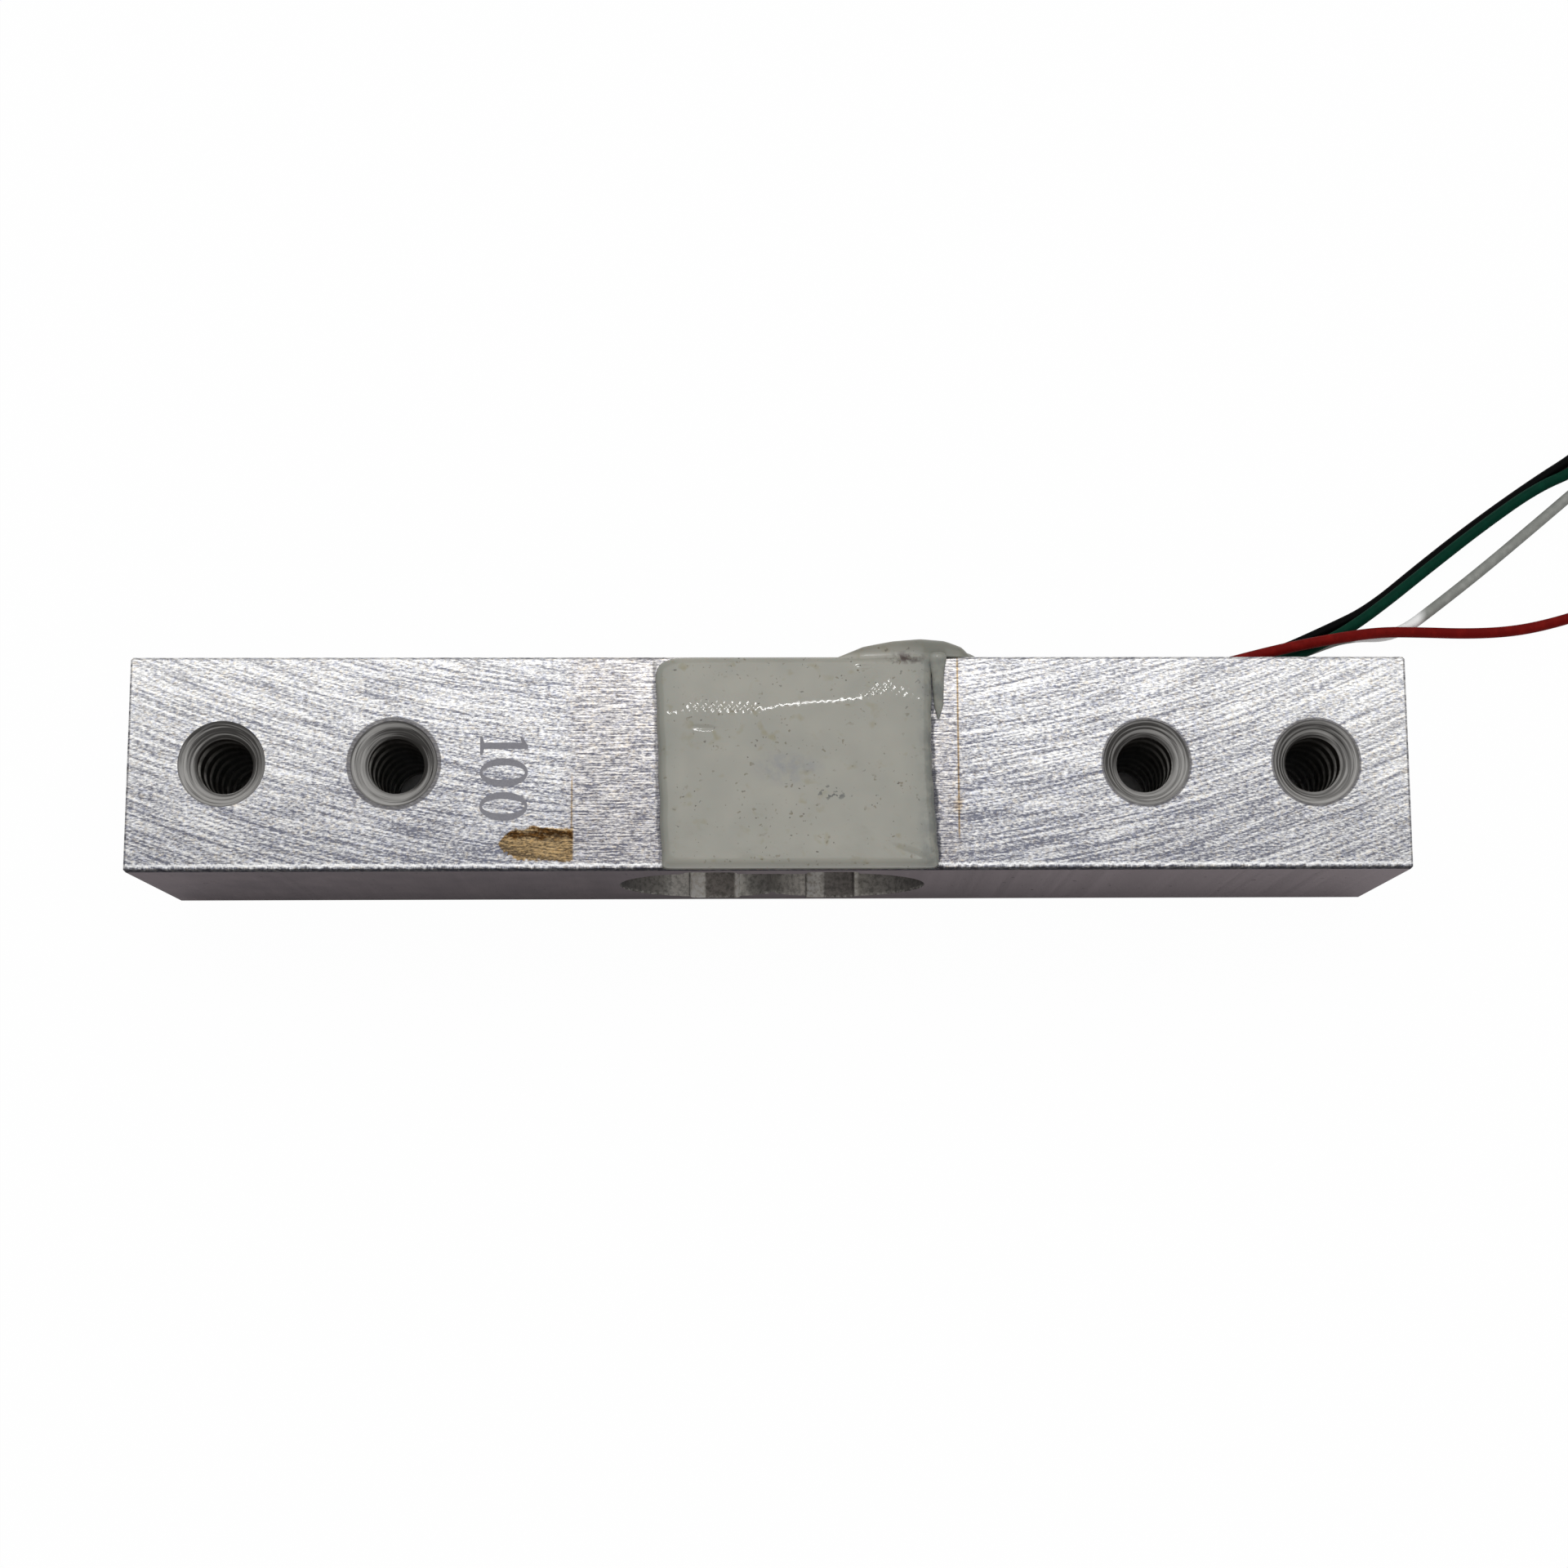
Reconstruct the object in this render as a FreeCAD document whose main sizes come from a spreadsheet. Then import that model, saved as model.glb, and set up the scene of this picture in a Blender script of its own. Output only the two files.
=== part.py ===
"""Single point load cell: an aluminium binocular beam with four bonded foil strain gauges,
terminal boards, silicone sealant and four single lead wires.

Frame, in millimetres: +X runs along the beam towards the fixed end, where the leads leave,
+Y points at the side the leads run along, +Z is up. The origin lies on the resting surface,
under the middle of the beam. Rest is on the sealant under the beam.
"""
import FreeCAD, Part
import math
import os
import Sketcher

Vector = FreeCAD.Vector
doc = FreeCAD.newDocument("single_point_load_cell")

# ---------------------------------------------------------------- driving dimensions
DIMENSIONS = [
    # alias, millimetres (or a count or degrees where the note says so), note
    ("beam_length", 75.0, "beam, end to end"),
    ("beam_width", 12.7, "beam, side to side"),
    ("beam_height", 12.7, "beam, bottom to top"),
    ("edge_break", 0.15, "chamfer on the beam's outer edges"),
    ("bore_diameter", 10.0, "each of the two bores of the binocular hole"),
    ("bore_spacing", 8.5, "between the two bores' axes"),
    ("relief_width", 3.1, "slot that thins the web over each bore"),
    ("relief_spacing", 7.2, "between the slots' centres, and so between the gauges"),
    ("web_thickness", 0.8, "metal left over each slot"),
    ("relief_corner", 0.4, "radius in the slots' corners"),
    ("thread_core", 3.3, "tapped holes, tap drill of M4 x 0.7"),
    ("countersink_diameter", 5.1, "tapped holes, 90 degree countersink"),
    ("end_margin", 5.5, "beam's end to the nearest hole"),
    ("hole_pitch", 10.0, "between the two holes of one end"),
    ("film_length", 5.4, "strain gauge backing film, along the beam"),
    ("film_width", 4.0, "strain gauge backing film, across the beam"),
    ("film_thickness", 0.06, "backing film with its bond line"),
    ("foil_thickness", 0.02, "gauge foil"),
    ("grid_length", 2.4, "straight part of the foil's lines"),
    ("grid_pitch", 0.4, "between two lines of the foil"),
    ("grid_line", 0.2, "width of a line of the foil"),
    ("tab_size", 0.9, "solder tab of the foil, square"),
    ("tab_gap", 0.3, "between the two solder tabs"),
    ("tab_offset", 2.05, "grid centre to the tabs' centres"),
    ("board_length", 1.8, "terminal board on the gauge face, along the beam"),
    ("board_width", 7.6, "terminal boards, along their row of lands"),
    ("board_thickness", 0.2, "terminal board laminate"),
    ("board_clearance", 0.5, "gauge film to terminal board"),
    ("land_pitch", 1.9, "between two lands of a gauge face's board"),
    ("land_size", 1.1, "copper land, square"),
    ("land_thickness", 0.035, "copper land"),
    ("side_board_length", 3.0, "terminal board on the side face, along the beam"),
    ("side_board_start", 9.6, "beam centre to that board's near end"),
    ("side_board_drop", 1.15, "that board's centre below the beam's mid-height"),
    ("side_land_pitch", 1.6, "between two lands of that board"),
    ("side_land_inset", 1.0, "that board's far end to its lands' centres"),
    ("solder_diameter", 0.9, "foot of a solder joint"),
    ("solder_height", 0.42, "height of a solder joint"),
    ("wire_diameter", 0.12, "enamelled wire between gauges and boards"),
    ("wire_lift", 0.3, "wire axis above the face that it runs over"),
    ("wire_spacing", 0.2, "between two enamelled wires side by side"),
    ("top_coat", 0.9, "sealant over the top gauges"),
    ("bottom_coat", 0.7, "sealant under the bottom gauges, which the cell rests on"),
    ("coat_left", 6.6, "beam centre to the sealant's edge at the load end"),
    ("coat_right", 9.6, "beam centre to the sealant's edge at the fixed end"),
    ("coat_corner", 1.0, "radius of the sealant's corners"),
    ("coat_edge", 0.45, "radius along the sealant's rim"),
    ("side_coat", 1.15, "sealant on the side face"),
    ("side_coat_start", 4.2, "beam centre to the near end of its ridge along the top edge"),
    ("side_coat_end", 13.2, "beam centre to its far end, where the leads come out"),
    ("side_coat_leg", 9.45, "beam centre to its leg beside the binocular hole"),
    ("side_coat_ridge", 1.1, "its ridge's reach below the top edge and above the bottom edge"),
    ("side_coat_rise", 0.6, "its ridge above the top face and below the bottom face"),
    ("lead_diameter", 0.7, "lead wire over its insulation"),
    ("lead_clearance", 0.05, "between a lead and its land"),
    ("core_diameter", 0.3, "tinned strands at a lead's stripped end"),
    ("stripped_length", 3.6, "stripped end of a lead"),
    ("coil_outer", 6.4, "radius of a coiled lead's outermost turn, at its axis"),
    ("coil_turns", 4.0, "turns in each lead's coil, a count"),
    ("coil_pitch", 0.74, "between two turns, and between two leads' layers"),
    ("coil_gap", 0.02, "between two leads' layers, bare of each other"),
    ("coil_x", 65.0, "coil's centre along the beam's direction"),
    ("coil_y", 23.2, "coil's centre across the beam"),
    ("coil_lift", 0.4, "coil's lowest face above the resting surface, over its tie"),
    ("coil_tail", 3.5, "straight stretch of each lead before its coil"),
    ("tie_width", 1.4, "coil tie, width"),
    ("tie_thickness", 0.3, "coil tie, thickness"),
    ("tie_clearance", 0.05, "coil to tie"),
]
GRID_LINES = 6          # lines of a gauge's foil
LANDS = 4               # lands on a terminal board

sheet = doc.addObject("Spreadsheet::Sheet", "Sizes")
for row, (alias, number, note) in enumerate(DIMENSIONS, start=1):
    sheet.set(f"A{row}", note)
    sheet.set(f"B{row}", str(number))
    sheet.setAlias(f"B{row}", alias)
doc.recompute()


def value(expression):
    """The number that an expression on the sheet's aliases has now."""
    return float(sheet.evalExpression(expression))


def on_sheet(expression):
    """The same expression as seen from another object: every alias gets the sheet's name."""
    words = sorted((alias for alias, _, _ in DIMENSIONS), key=len, reverse=True)
    result, place = "", 0
    while place < len(expression):
        found = next((word for word in words if expression.startswith(word, place)), None)
        if found:
            result += "Sizes." + found
            place += len(found)
        else:
            result += expression[place]
            place += 1
    return result


# Heights and places that several pieces share, as expressions on the sheet.
BEAM_LOW = "bottom_coat"
BEAM_MID = "(bottom_coat + beam_height / 2)"
BEAM_TOP = "(bottom_coat + beam_height)"
SIDE_FACE = "beam_width / 2"
GAUGE_X = "relief_spacing / 2"
BOARD_X = "(relief_spacing / 2 + film_length / 2 + board_clearance + board_length / 2)"
SIDE_BOARD_X = "(side_board_start + side_board_length / 2)"
SIDE_BOARD_Z = "(bottom_coat + beam_height / 2 - side_board_drop)"
SIDE_LAND_X = "(side_board_start + side_board_length - side_land_inset)"


# ---------------------------------------------------------------- sketch and feature tools
def new_body(label):
    body = doc.addObject("PartDesign::Body", label)
    body.Label = label
    return body


def place(thing, x="0", y="0", z="0", axis=Vector(0, 0, 1), angle=0.0):
    """Turns an object about an axis through its own origin and binds its place to the sheet."""
    thing.Placement = FreeCAD.Placement(Vector(0, 0, 0), FreeCAD.Rotation(axis, angle))
    for name, expression in (("x", x), ("y", y), ("z", z)):
        thing.setExpression(f"Placement.Base.{name}", on_sheet(expression))


def new_sketch(body, name, plane, height="0"):
    """A sketch on one of the body's own origin planes, lifted along the plane's normal."""
    sketch = body.newObject("Sketcher::SketchObject", f"{body.Name}_{name}")
    base = next(item for item in body.Origin.OriginFeatures if item.Role == plane)
    sketch.AttachmentSupport = [(base, "")]
    sketch.MapMode = "FlatFace"
    sketch.setExpression("AttachmentOffset.Base.z", on_sheet(height))
    return sketch


def hold_point(sketch, line, end, across, up):
    """Fixes one end of a line (3 is a circle's centre) at two expressions from the origin."""
    for kind, expression in (("DistanceX", across), ("DistanceY", up)):
        number = sketch.addConstraint(
            Sketcher.Constraint(kind, -1, 1, line, end, value(expression)))
        sketch.setExpression(f"Constraints[{number}]", on_sheet(expression))


def add_outline(sketch, corners):
    """A closed outline of straight lines through corners given as pairs of expressions."""
    points = [Vector(value(across), value(up), 0) for across, up in corners]
    first = sketch.GeometryCount
    count = len(points)
    for index, point in enumerate(points):
        sketch.addGeometry(Part.LineSegment(point, points[(index + 1) % count]))
    for index, (across, up) in enumerate(corners):
        following = first + (index + 1) % count
        sketch.addConstraint(Sketcher.Constraint("Coincident", first + index, 2, following, 1))
        hold_point(sketch, first + index, 1, across, up)


def add_rectangle(sketch, centre_x, centre_y, length, width):
    """A rectangle about a centre, all four given as expressions."""
    low_x, high_x = f"{centre_x} - {length} / 2", f"{centre_x} + {length} / 2"
    low_y, high_y = f"{centre_y} - {width} / 2", f"{centre_y} + {width} / 2"
    add_outline(sketch, [(low_x, low_y), (high_x, low_y), (high_x, high_y), (low_x, high_y)])


def add_circle(sketch, centre_x, centre_y, diameter):
    circle = sketch.addGeometry(Part.Circle(
        Vector(value(centre_x), value(centre_y), 0), Vector(0, 0, 1), value(diameter) / 2))
    hold_point(sketch, circle, 3, centre_x, centre_y)
    number = sketch.addConstraint(Sketcher.Constraint("Diameter", circle, value(diameter)))
    sketch.setExpression(f"Constraints[{number}]", on_sheet(diameter))


def new_feature(body, kind, name, sketch):
    feature = body.newObject(f"PartDesign::{kind}", f"{body.Name}_{name}")
    feature.Profile = sketch
    return feature


def pad(body, name, sketch, length, symmetric=False, downwards=False):
    feature = new_feature(body, "Pad", name, sketch)
    feature.SideType = "Symmetric" if symmetric else "One side"
    feature.Reversed = downwards
    feature.setExpression("Length", on_sheet(length))
    doc.recompute()
    return feature


def cut_through(body, name, sketch):
    """A pocket right through, to both sides of its sketch."""
    feature = new_feature(body, "Pocket", name, sketch)
    feature.SideType = "Symmetric"
    feature.Type = "ThroughAll"
    doc.recompute()
    return feature


def row_along_y(body, name, original, length, count):
    """Repeats a feature along the body's Y axis, over a whole length."""
    pattern = body.newObject("PartDesign::LinearPattern", f"{body.Name}_{name}")
    pattern.Originals = [original]
    axis = next(item for item in body.Origin.OriginFeatures if item.Role == "Y_Axis")
    pattern.Direction = (axis, [""])
    pattern.Mode = "Extent"
    pattern.setExpression("Length", on_sheet(length))
    pattern.Occurrences = count
    body.Tip = pattern
    doc.recompute()
    return pattern


def round_edges(body, name, kind, radius, chosen):
    """A fillet or chamfer on those edges of the body's tip that a test picks."""
    base = body.Tip
    names = [f"Edge{number}" for number, edge in enumerate(base.Shape.Edges, start=1)
             if chosen(edge)]
    feature = body.newObject(f"PartDesign::{kind}", f"{body.Name}_{name}")
    feature.Base = (base, names)
    feature.setExpression("Radius" if kind == "Fillet" else "Size", on_sheet(radius))
    doc.recompute()
    return feature


def edge_ends(edge):
    return edge.firstVertex().Point, edge.lastVertex().Point


def near(first, second):
    return abs(first - second) < 1e-6


# ---------------------------------------------------------------- beam
# Milled from square bar. Two bores and two slots make the binocular hole, whose four thin
# webs bend under load; each end has two tapped holes right through.
beam = new_body("beam")
beam_side = new_sketch(beam, "side", "XZ_Plane")
add_rectangle(beam_side, "0", BEAM_MID, "beam_length", "beam_height")
pad(beam, "bar", beam_side, "beam_width", symmetric=True)
round_edges(beam, "edges", "Chamfer", "edge_break", lambda edge: True)
bar_volume = beam.Shape.Volume

bore_profile = new_sketch(beam, "bore_profile", "XZ_Plane")
add_circle(bore_profile, "bore_spacing / 2", BEAM_MID, "bore_diameter")
bore = cut_through(beam, "bore", bore_profile)
relief_profile = new_sketch(beam, "relief_profile", "XZ_Plane")
add_rectangle(relief_profile, "relief_spacing / 2", BEAM_MID, "relief_width",
              "(beam_height - 2 * web_thickness)")
relief = cut_through(beam, "relief", relief_profile)
other_half = beam.newObject("PartDesign::Mirrored", "beam_other_half")
other_half.Originals = [bore, relief]
other_half.MirrorPlane = (
    next(item for item in beam.Origin.OriginFeatures if item.Role == "YZ_Plane"), [""])
beam.Tip = other_half
doc.recompute()


def in_slot_corner(edge):
    """True for the long edges along the slots' floors."""
    start, end = edge_ends(edge)
    depth = value("beam_height / 2 - web_thickness")
    return all(near(abs(point.z - value(BEAM_MID)), depth) for point in (start, end)) \
        and abs(start.y - end.y) > value(SIDE_FACE)


round_edges(beam, "relief_corners", "Fillet", "relief_corner", in_slot_corner)

for name, height, upwards in (("top_holes", BEAM_TOP, False), ("bottom_holes", BEAM_LOW, True)):
    hole_places = new_sketch(beam, f"{name}_places", "XY_Plane", height)
    for sign in ("-", ""):
        for inwards in ("0", "hole_pitch"):
            add_circle(hole_places, f"{sign}(beam_length / 2 - end_margin - {inwards})", "0",
                       "thread_core")
    doc.recompute()
    holes = new_feature(beam, "Hole", name, hole_places)
    holes.DepthType = "ThroughAll"
    holes.Reversed = upwards
    holes.setExpression("Diameter", on_sheet("thread_core"))
    holes.HoleCutType = "Countersink"
    holes.HoleCutCustomValues = True
    holes.HoleCutCountersinkAngle = 90.0
    holes.setExpression("HoleCutDiameter", on_sheet("countersink_diameter"))
    doc.recompute()
print(f"beam: bar {bar_volume:.1f} mm3, finished {beam.Shape.Volume:.1f} mm3")


# ---------------------------------------------------------------- strain gauges
def strain_gauge(label, x, z, angle):
    """A foil gauge on its film, its grid's centre over the thinnest part of a web."""
    gauge = new_body(label)
    film = new_sketch(gauge, "film_outline", "XY_Plane")
    add_rectangle(film, "0", "0", "film_length", "film_width")
    pad(gauge, "film", film, "film_thickness")
    half_rows = f"({GRID_LINES} - 1) / 2 * grid_pitch"
    foil = (
        # name, centre x, first centre y, length, width, span of the row, count
        ("line", "0", f"-{half_rows}", "grid_length", "grid_line", f"2 * {half_rows}",
         GRID_LINES),
        ("near_turn", "-(grid_length + grid_line) / 2", f"-{half_rows} + grid_pitch / 2",
         "grid_line", "(grid_pitch + grid_line)", f"({GRID_LINES} - 2) * grid_pitch",
         GRID_LINES // 2),
        ("far_turn", "(grid_length + grid_line) / 2", f"-{half_rows} + grid_pitch * 3 / 2",
         "grid_line", "(grid_pitch + grid_line)", f"({GRID_LINES} - 4) * grid_pitch",
         GRID_LINES // 2 - 1),
        ("tab", "tab_offset", "-(tab_size + tab_gap) / 2", "tab_size", "tab_size",
         "tab_size + tab_gap", 2),
        ("tab_lead", "(grid_length / 2 + tab_offset - tab_size / 2) / 2", f"-{half_rows}",
         "(tab_offset - tab_size / 2 - grid_length / 2)", "grid_line", f"2 * {half_rows}", 2),
    )
    for name, centre_x, centre_y, length, width, span, count in foil:
        shape = new_sketch(gauge, f"{name}_outline", "XY_Plane", "film_thickness")
        add_rectangle(shape, centre_x, centre_y, length, width)
        strip = pad(gauge, name, shape, "foil_thickness")
        row_along_y(gauge, f"{name}_row", strip, span, count)
    place(gauge, x, "0", z, Vector(1, 0, 0), angle)
    return gauge


SIDES = (("top", BEAM_TOP, 0.0), ("bottom", BEAM_LOW, 180.0))
gauges = {}
for side, face, angle in SIDES:
    gauges[side] = [strain_gauge(f"{side}_load_end_gauge", f"-{GAUGE_X}", face, angle),
                    strain_gauge(f"{side}_fixed_end_gauge", GAUGE_X, face, angle)]


# ---------------------------------------------------------------- terminal boards
def terminal_board(label, length, land_x, pitch):
    """A strip of laminate with a row of square copper lands along its own Y."""
    board = new_body(label)
    outline = new_sketch(board, "outline", "XY_Plane")
    add_rectangle(outline, "0", "0", length, "board_width")
    pad(board, "laminate", outline, "board_thickness")
    land_outline = new_sketch(board, "land_outline", "XY_Plane", "board_thickness")
    add_rectangle(land_outline, land_x, f"-({LANDS} - 1) / 2 * {pitch}", "land_size", "land_size")
    land = pad(board, "land", land_outline, "land_thickness")
    row_along_y(board, "lands", land, f"({LANDS} - 1) * {pitch}", LANDS)
    return board


boards = {}
for side, face, angle in SIDES:
    boards[side] = terminal_board(f"{side}_terminal_board", "board_length", "0", "land_pitch")
    place(boards[side], BOARD_X, "0", face, Vector(1, 0, 0), angle)
side_board = terminal_board(
    "side_terminal_board", "side_board_length",
    "(side_board_length / 2 - side_land_inset)", "side_land_pitch")
place(side_board, SIDE_BOARD_X, SIDE_FACE, SIDE_BOARD_Z, Vector(1, 0, 0), -90.0)


# ---------------------------------------------------------------- wires and cords
def bend_radius(before, corner, after):
    """The largest radius that both runs at a corner allow, and the corner's turn."""
    inwards, outwards = corner - before, after - corner
    turn = inwards.getAngle(outwards)
    return 0.45 * min(inwards.Length, outwards.Length) / math.tan(turn / 2), turn


def tube(points, diameter):
    """A round wire along straight runs joined by tangent arcs; returns it and its radii."""
    edges, radii = [], []
    start = points[0]
    for before, corner, after in zip(points, points[1:], points[2:]):
        radius, turn = bend_radius(before, corner, after)
        reach = radius * math.tan(turn / 2)
        towards = (before - corner).normalize()
        away = (after - corner).normalize()
        first, last = corner + towards * reach, corner + away * reach
        bisector = (towards + away).normalize()
        middle = corner + bisector * (radius / math.cos(turn / 2) - radius)
        edges.append(Part.LineSegment(start, first).toShape())
        edges.append(Part.Arc(first, middle, last).toShape())
        radii.append(radius)
        start = last
    edges.append(Part.LineSegment(start, points[-1]).toShape())
    path = Part.Wire(edges)
    section = Part.Wire([Part.makeCircle(diameter / 2, points[0], points[1] - points[0])])
    solid = path.makePipeShell([section], True, False)
    expected = math.pi * diameter ** 2 / 4 * path.Length
    if abs(solid.Volume / expected - 1) > 0.01:
        raise RuntimeError(f"a tube holds {solid.Volume:.3f} mm3 instead of {expected:.3f}")
    return solid, radii, path.Length


def add_shape(label, shape):
    feature = doc.addObject("Part::Feature", label)
    feature.Label = label
    feature.Shape = shape
    return feature


def solder_dome(foot, outwards):
    """A solder joint: a spherical cap on its foot circle."""
    radius, height = value("solder_diameter") / 2, value("solder_height")
    ball = (radius ** 2 + height ** 2) / (2 * height)
    rise = math.degrees(math.asin((ball - height) / ball))
    return Part.makeSphere(ball, foot - outwards * (ball - height), outwards, rise, 90, 360)


def land_row(pitch):
    """Places of a board's lands along its row, from the board's middle."""
    return [(index - (LANDS - 1) / 2) * pitch for index in range(LANDS)]


wire_diameter = value("wire_diameter")
wire_spacing = value("wire_spacing")
side_wire_y = value(f"{SIDE_FACE} + board_thickness + land_thickness + wire_diameter")
side_land_x = value(SIDE_LAND_X)
side_land_z = sorted(value(SIDE_BOARD_Z) + row for row in land_row(value("side_land_pitch")))
wires, joints = {}, {}
for side, face, angle in SIDES:
    up = 1 if side == "top" else -1
    face_z = value(face)
    wire_z = face_z + up * value("wire_lift")
    tab_x = [value(f"{sign}{GAUGE_X} + tab_offset") for sign in ("-", "")]
    tab_y = value("(tab_size + tab_gap) / 2")
    board_x = value(BOARD_X)
    land_y = land_row(value("land_pitch"))
    beside_film = value("film_width / 2") + 2 * wire_diameter
    routes = []
    for sign in (-1, 1):
        routes.append([Vector(tab_x[0], sign * tab_y, wire_z),
                       Vector(tab_x[0] + wire_spacing, sign * beside_film, wire_z),
                       Vector(tab_x[1], sign * beside_film, wire_z),
                       Vector(board_x, sign * land_y[-1], wire_z)])
        routes.append([Vector(tab_x[1], sign * tab_y, wire_z),
                       Vector(board_x, sign * land_y[-2], wire_z)])
    gauge_wires = [tube(route, wire_diameter)[0] for route in routes]
    wires[f"{side}_gauge_wires"] = add_shape(f"{side}_gauge_wires", Part.Compound(gauge_wires))

    # Three wires go on over the back edge to the side board: both supply lands and a signal.
    column = value("side_board_start") + 2 * wire_spacing
    side_y = side_wire_y if up > 0 else side_wire_y + wire_spacing
    bridge_wires = []
    for index, land in enumerate((3, 2, 1)):
        across = board_x + value("board_length / 2") + (index + 1) * wire_spacing
        down = column + index * wire_spacing
        target = side_land_z[1 + index] if up > 0 else side_land_z[2 - index]
        turn_z = face_z - up * (0.5 * value("side_coat_ridge"))
        bridge_wires.append(tube([
            Vector(board_x + wire_diameter, land_y[land], wire_z),
            Vector(across, land_y[land], wire_z),
            Vector(across, side_y, wire_z),
            Vector(across, side_y, turn_z),
            Vector(down, side_y, turn_z - up * value("side_coat_ridge")),
            Vector(down, side_y, target),
            Vector(side_land_x, side_y, target)], wire_diameter)[0])
    wires[f"{side}_bridge_wires"] = add_shape(f"{side}_bridge_wires", Part.Compound(bridge_wires))

    gauge_foot = face_z + up * value("film_thickness + foil_thickness")
    board_foot = face_z + up * value("board_thickness + land_thickness")
    outwards = Vector(0, 0, up)
    feet = [Vector(x, sign * tab_y, gauge_foot) for x in tab_x for sign in (-1, 1)]
    feet += [Vector(board_x, y, board_foot) for y in land_y]
    domes = Part.Compound([solder_dome(foot, outwards) for foot in feet])
    joints[side] = add_shape(f"{side}_solder_joints",
                             domes.cut(gauge_wires + bridge_wires))

side_foot = value(f"{SIDE_FACE} + board_thickness + land_thickness")
side_domes = Part.Compound([solder_dome(Vector(side_land_x, side_foot, z), Vector(0, 1, 0))
                            for z in side_land_z])
all_bridge = [solid for side, _, _ in SIDES for solid in wires[f"{side}_bridge_wires"].Shape.Solids]
joints["side"] = add_shape("side_solder_joints", side_domes.cut(all_bridge))
for node in list(joints.values()) + list(wires.values()):
    print(f"{node.Label}: {len(node.Shape.Solids)} solids, {node.Shape.Volume:.3f} mm3")


# ---------------------------------------------------------------- lead wires
# Four single stranded wires in PVC, each up against its solder joint on the side board. They
# leave the sealant, drop to the resting surface behind the beam and run off past the fixed
# end, crossing on the way. Each one's rest is a flat coil, and a tie holds the coils together.
lead_diameter = value("lead_diameter")
lead_y = value(f"{SIDE_FACE} + board_thickness + land_thickness + lead_clearance"
               " + lead_diameter / 2")
lead_start = side_land_x + value("solder_diameter / 4")
coil_centre = Vector(value("coil_x"), value("coil_y"), 0)
coil_outer, coil_pitch = value("coil_outer"), value("coil_pitch")
coil_low = value("coil_lift")
LANDS_FROM_BELOW = ("white", "black", "green", "red")
COILS_FROM_BELOW = ("red", "white", "green", "black")
LEADS = {
    # lead: degrees at which it enters its coil, last run before its coil, the route between
    "red": (170.0, 3.2, [
        (15.2, 7.0, 8.1), (20.0, 7.2, 5.6), (26.0, 7.6, 3.15), (31.14, 9.18, 2.15),
        (33.84, 9.84, 1.95), (36.51, 10.35, 1.9), (39.27, 10.83, 1.5), (42.12, 10.98, 0.8),
        (45.44, 10.98, 0.4), (48.47, 11.16, 0.35), (51.39, 11.81, 0.35), (55.0, 13.0, 0.4)]),
    "green": (126.0, 2.8, [
        (15.2, 7.0, 6.6), (19.6, 7.15, 4.3), (24.2, 7.5, 1.9), (28.8, 8.05, 1.22),
        (32.94, 8.91, 1.1), (34.87, 9.69, 1.1), (37.26, 10.94, 1.08), (39.69, 12.69, 0.98),
        (42.91, 15.26, 0.92), (46.48, 17.92, 0.85), (50.12, 20.37, 0.6),
        (53.08, 21.95, 0.85)]),
    "black": (118.0, 2.8, [
        (15.2, 7.0, 5.0), (19.4, 7.5, 2.5), (23.8, 8.0, 0.65), (29.37, 8.74, 0.35),
        (32.92, 9.93, 0.35), (36.17, 11.4, 0.35), (38.89, 12.69, 0.35), (42.44, 15.57, 0.35),
        (46.11, 18.41, 0.35), (50.26, 21.49, 0.35), (53.2, 23.21, 0.7)]),
    "white": (136.0, 2.8, [
        (15.2, 7.0, 3.4), (19.2, 6.95, 1.5), (23.4, 7.2, 0.4), (29.34, 7.93, 0.35),
        (32.79, 9.09, 0.35), (35.16, 10.02, 0.35), (37.43, 10.83, 0.35), (40.53, 10.77, 0.35),
        (43.45, 12.94, 0.35), (46.63, 15.43, 0.35), (50.1, 18.31, 0.35), (53.39, 21.07, 0.6)]),
}


def around_coil(angle, radius, z):
    return coil_centre + Vector(radius * math.cos(angle), radius * math.sin(angle), z)


def lead_coil(angle, z):
    """A flat ring as thick as the lead, with the straight tail that leads into it."""
    inner = coil_outer - value("coil_turns") * coil_pitch - lead_diameter / 2
    thickness = coil_pitch - value("coil_gap")
    low = coil_centre + Vector(0, 0, z - thickness / 2)
    ring = Part.makeCylinder(coil_outer + lead_diameter / 2, thickness, low).cut(
        Part.makeCylinder(inner, thickness, low))
    touch = around_coil(angle, coil_outer, z)
    forwards = Vector(math.sin(angle), -math.cos(angle), 0)
    tail = value("coil_tail")
    stub = Part.makeCylinder(lead_diameter / 2, tail, touch - forwards * tail, forwards)
    return ring.fuse(stub).removeSplitter(), touch - forwards * tail, forwards, inner


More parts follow.
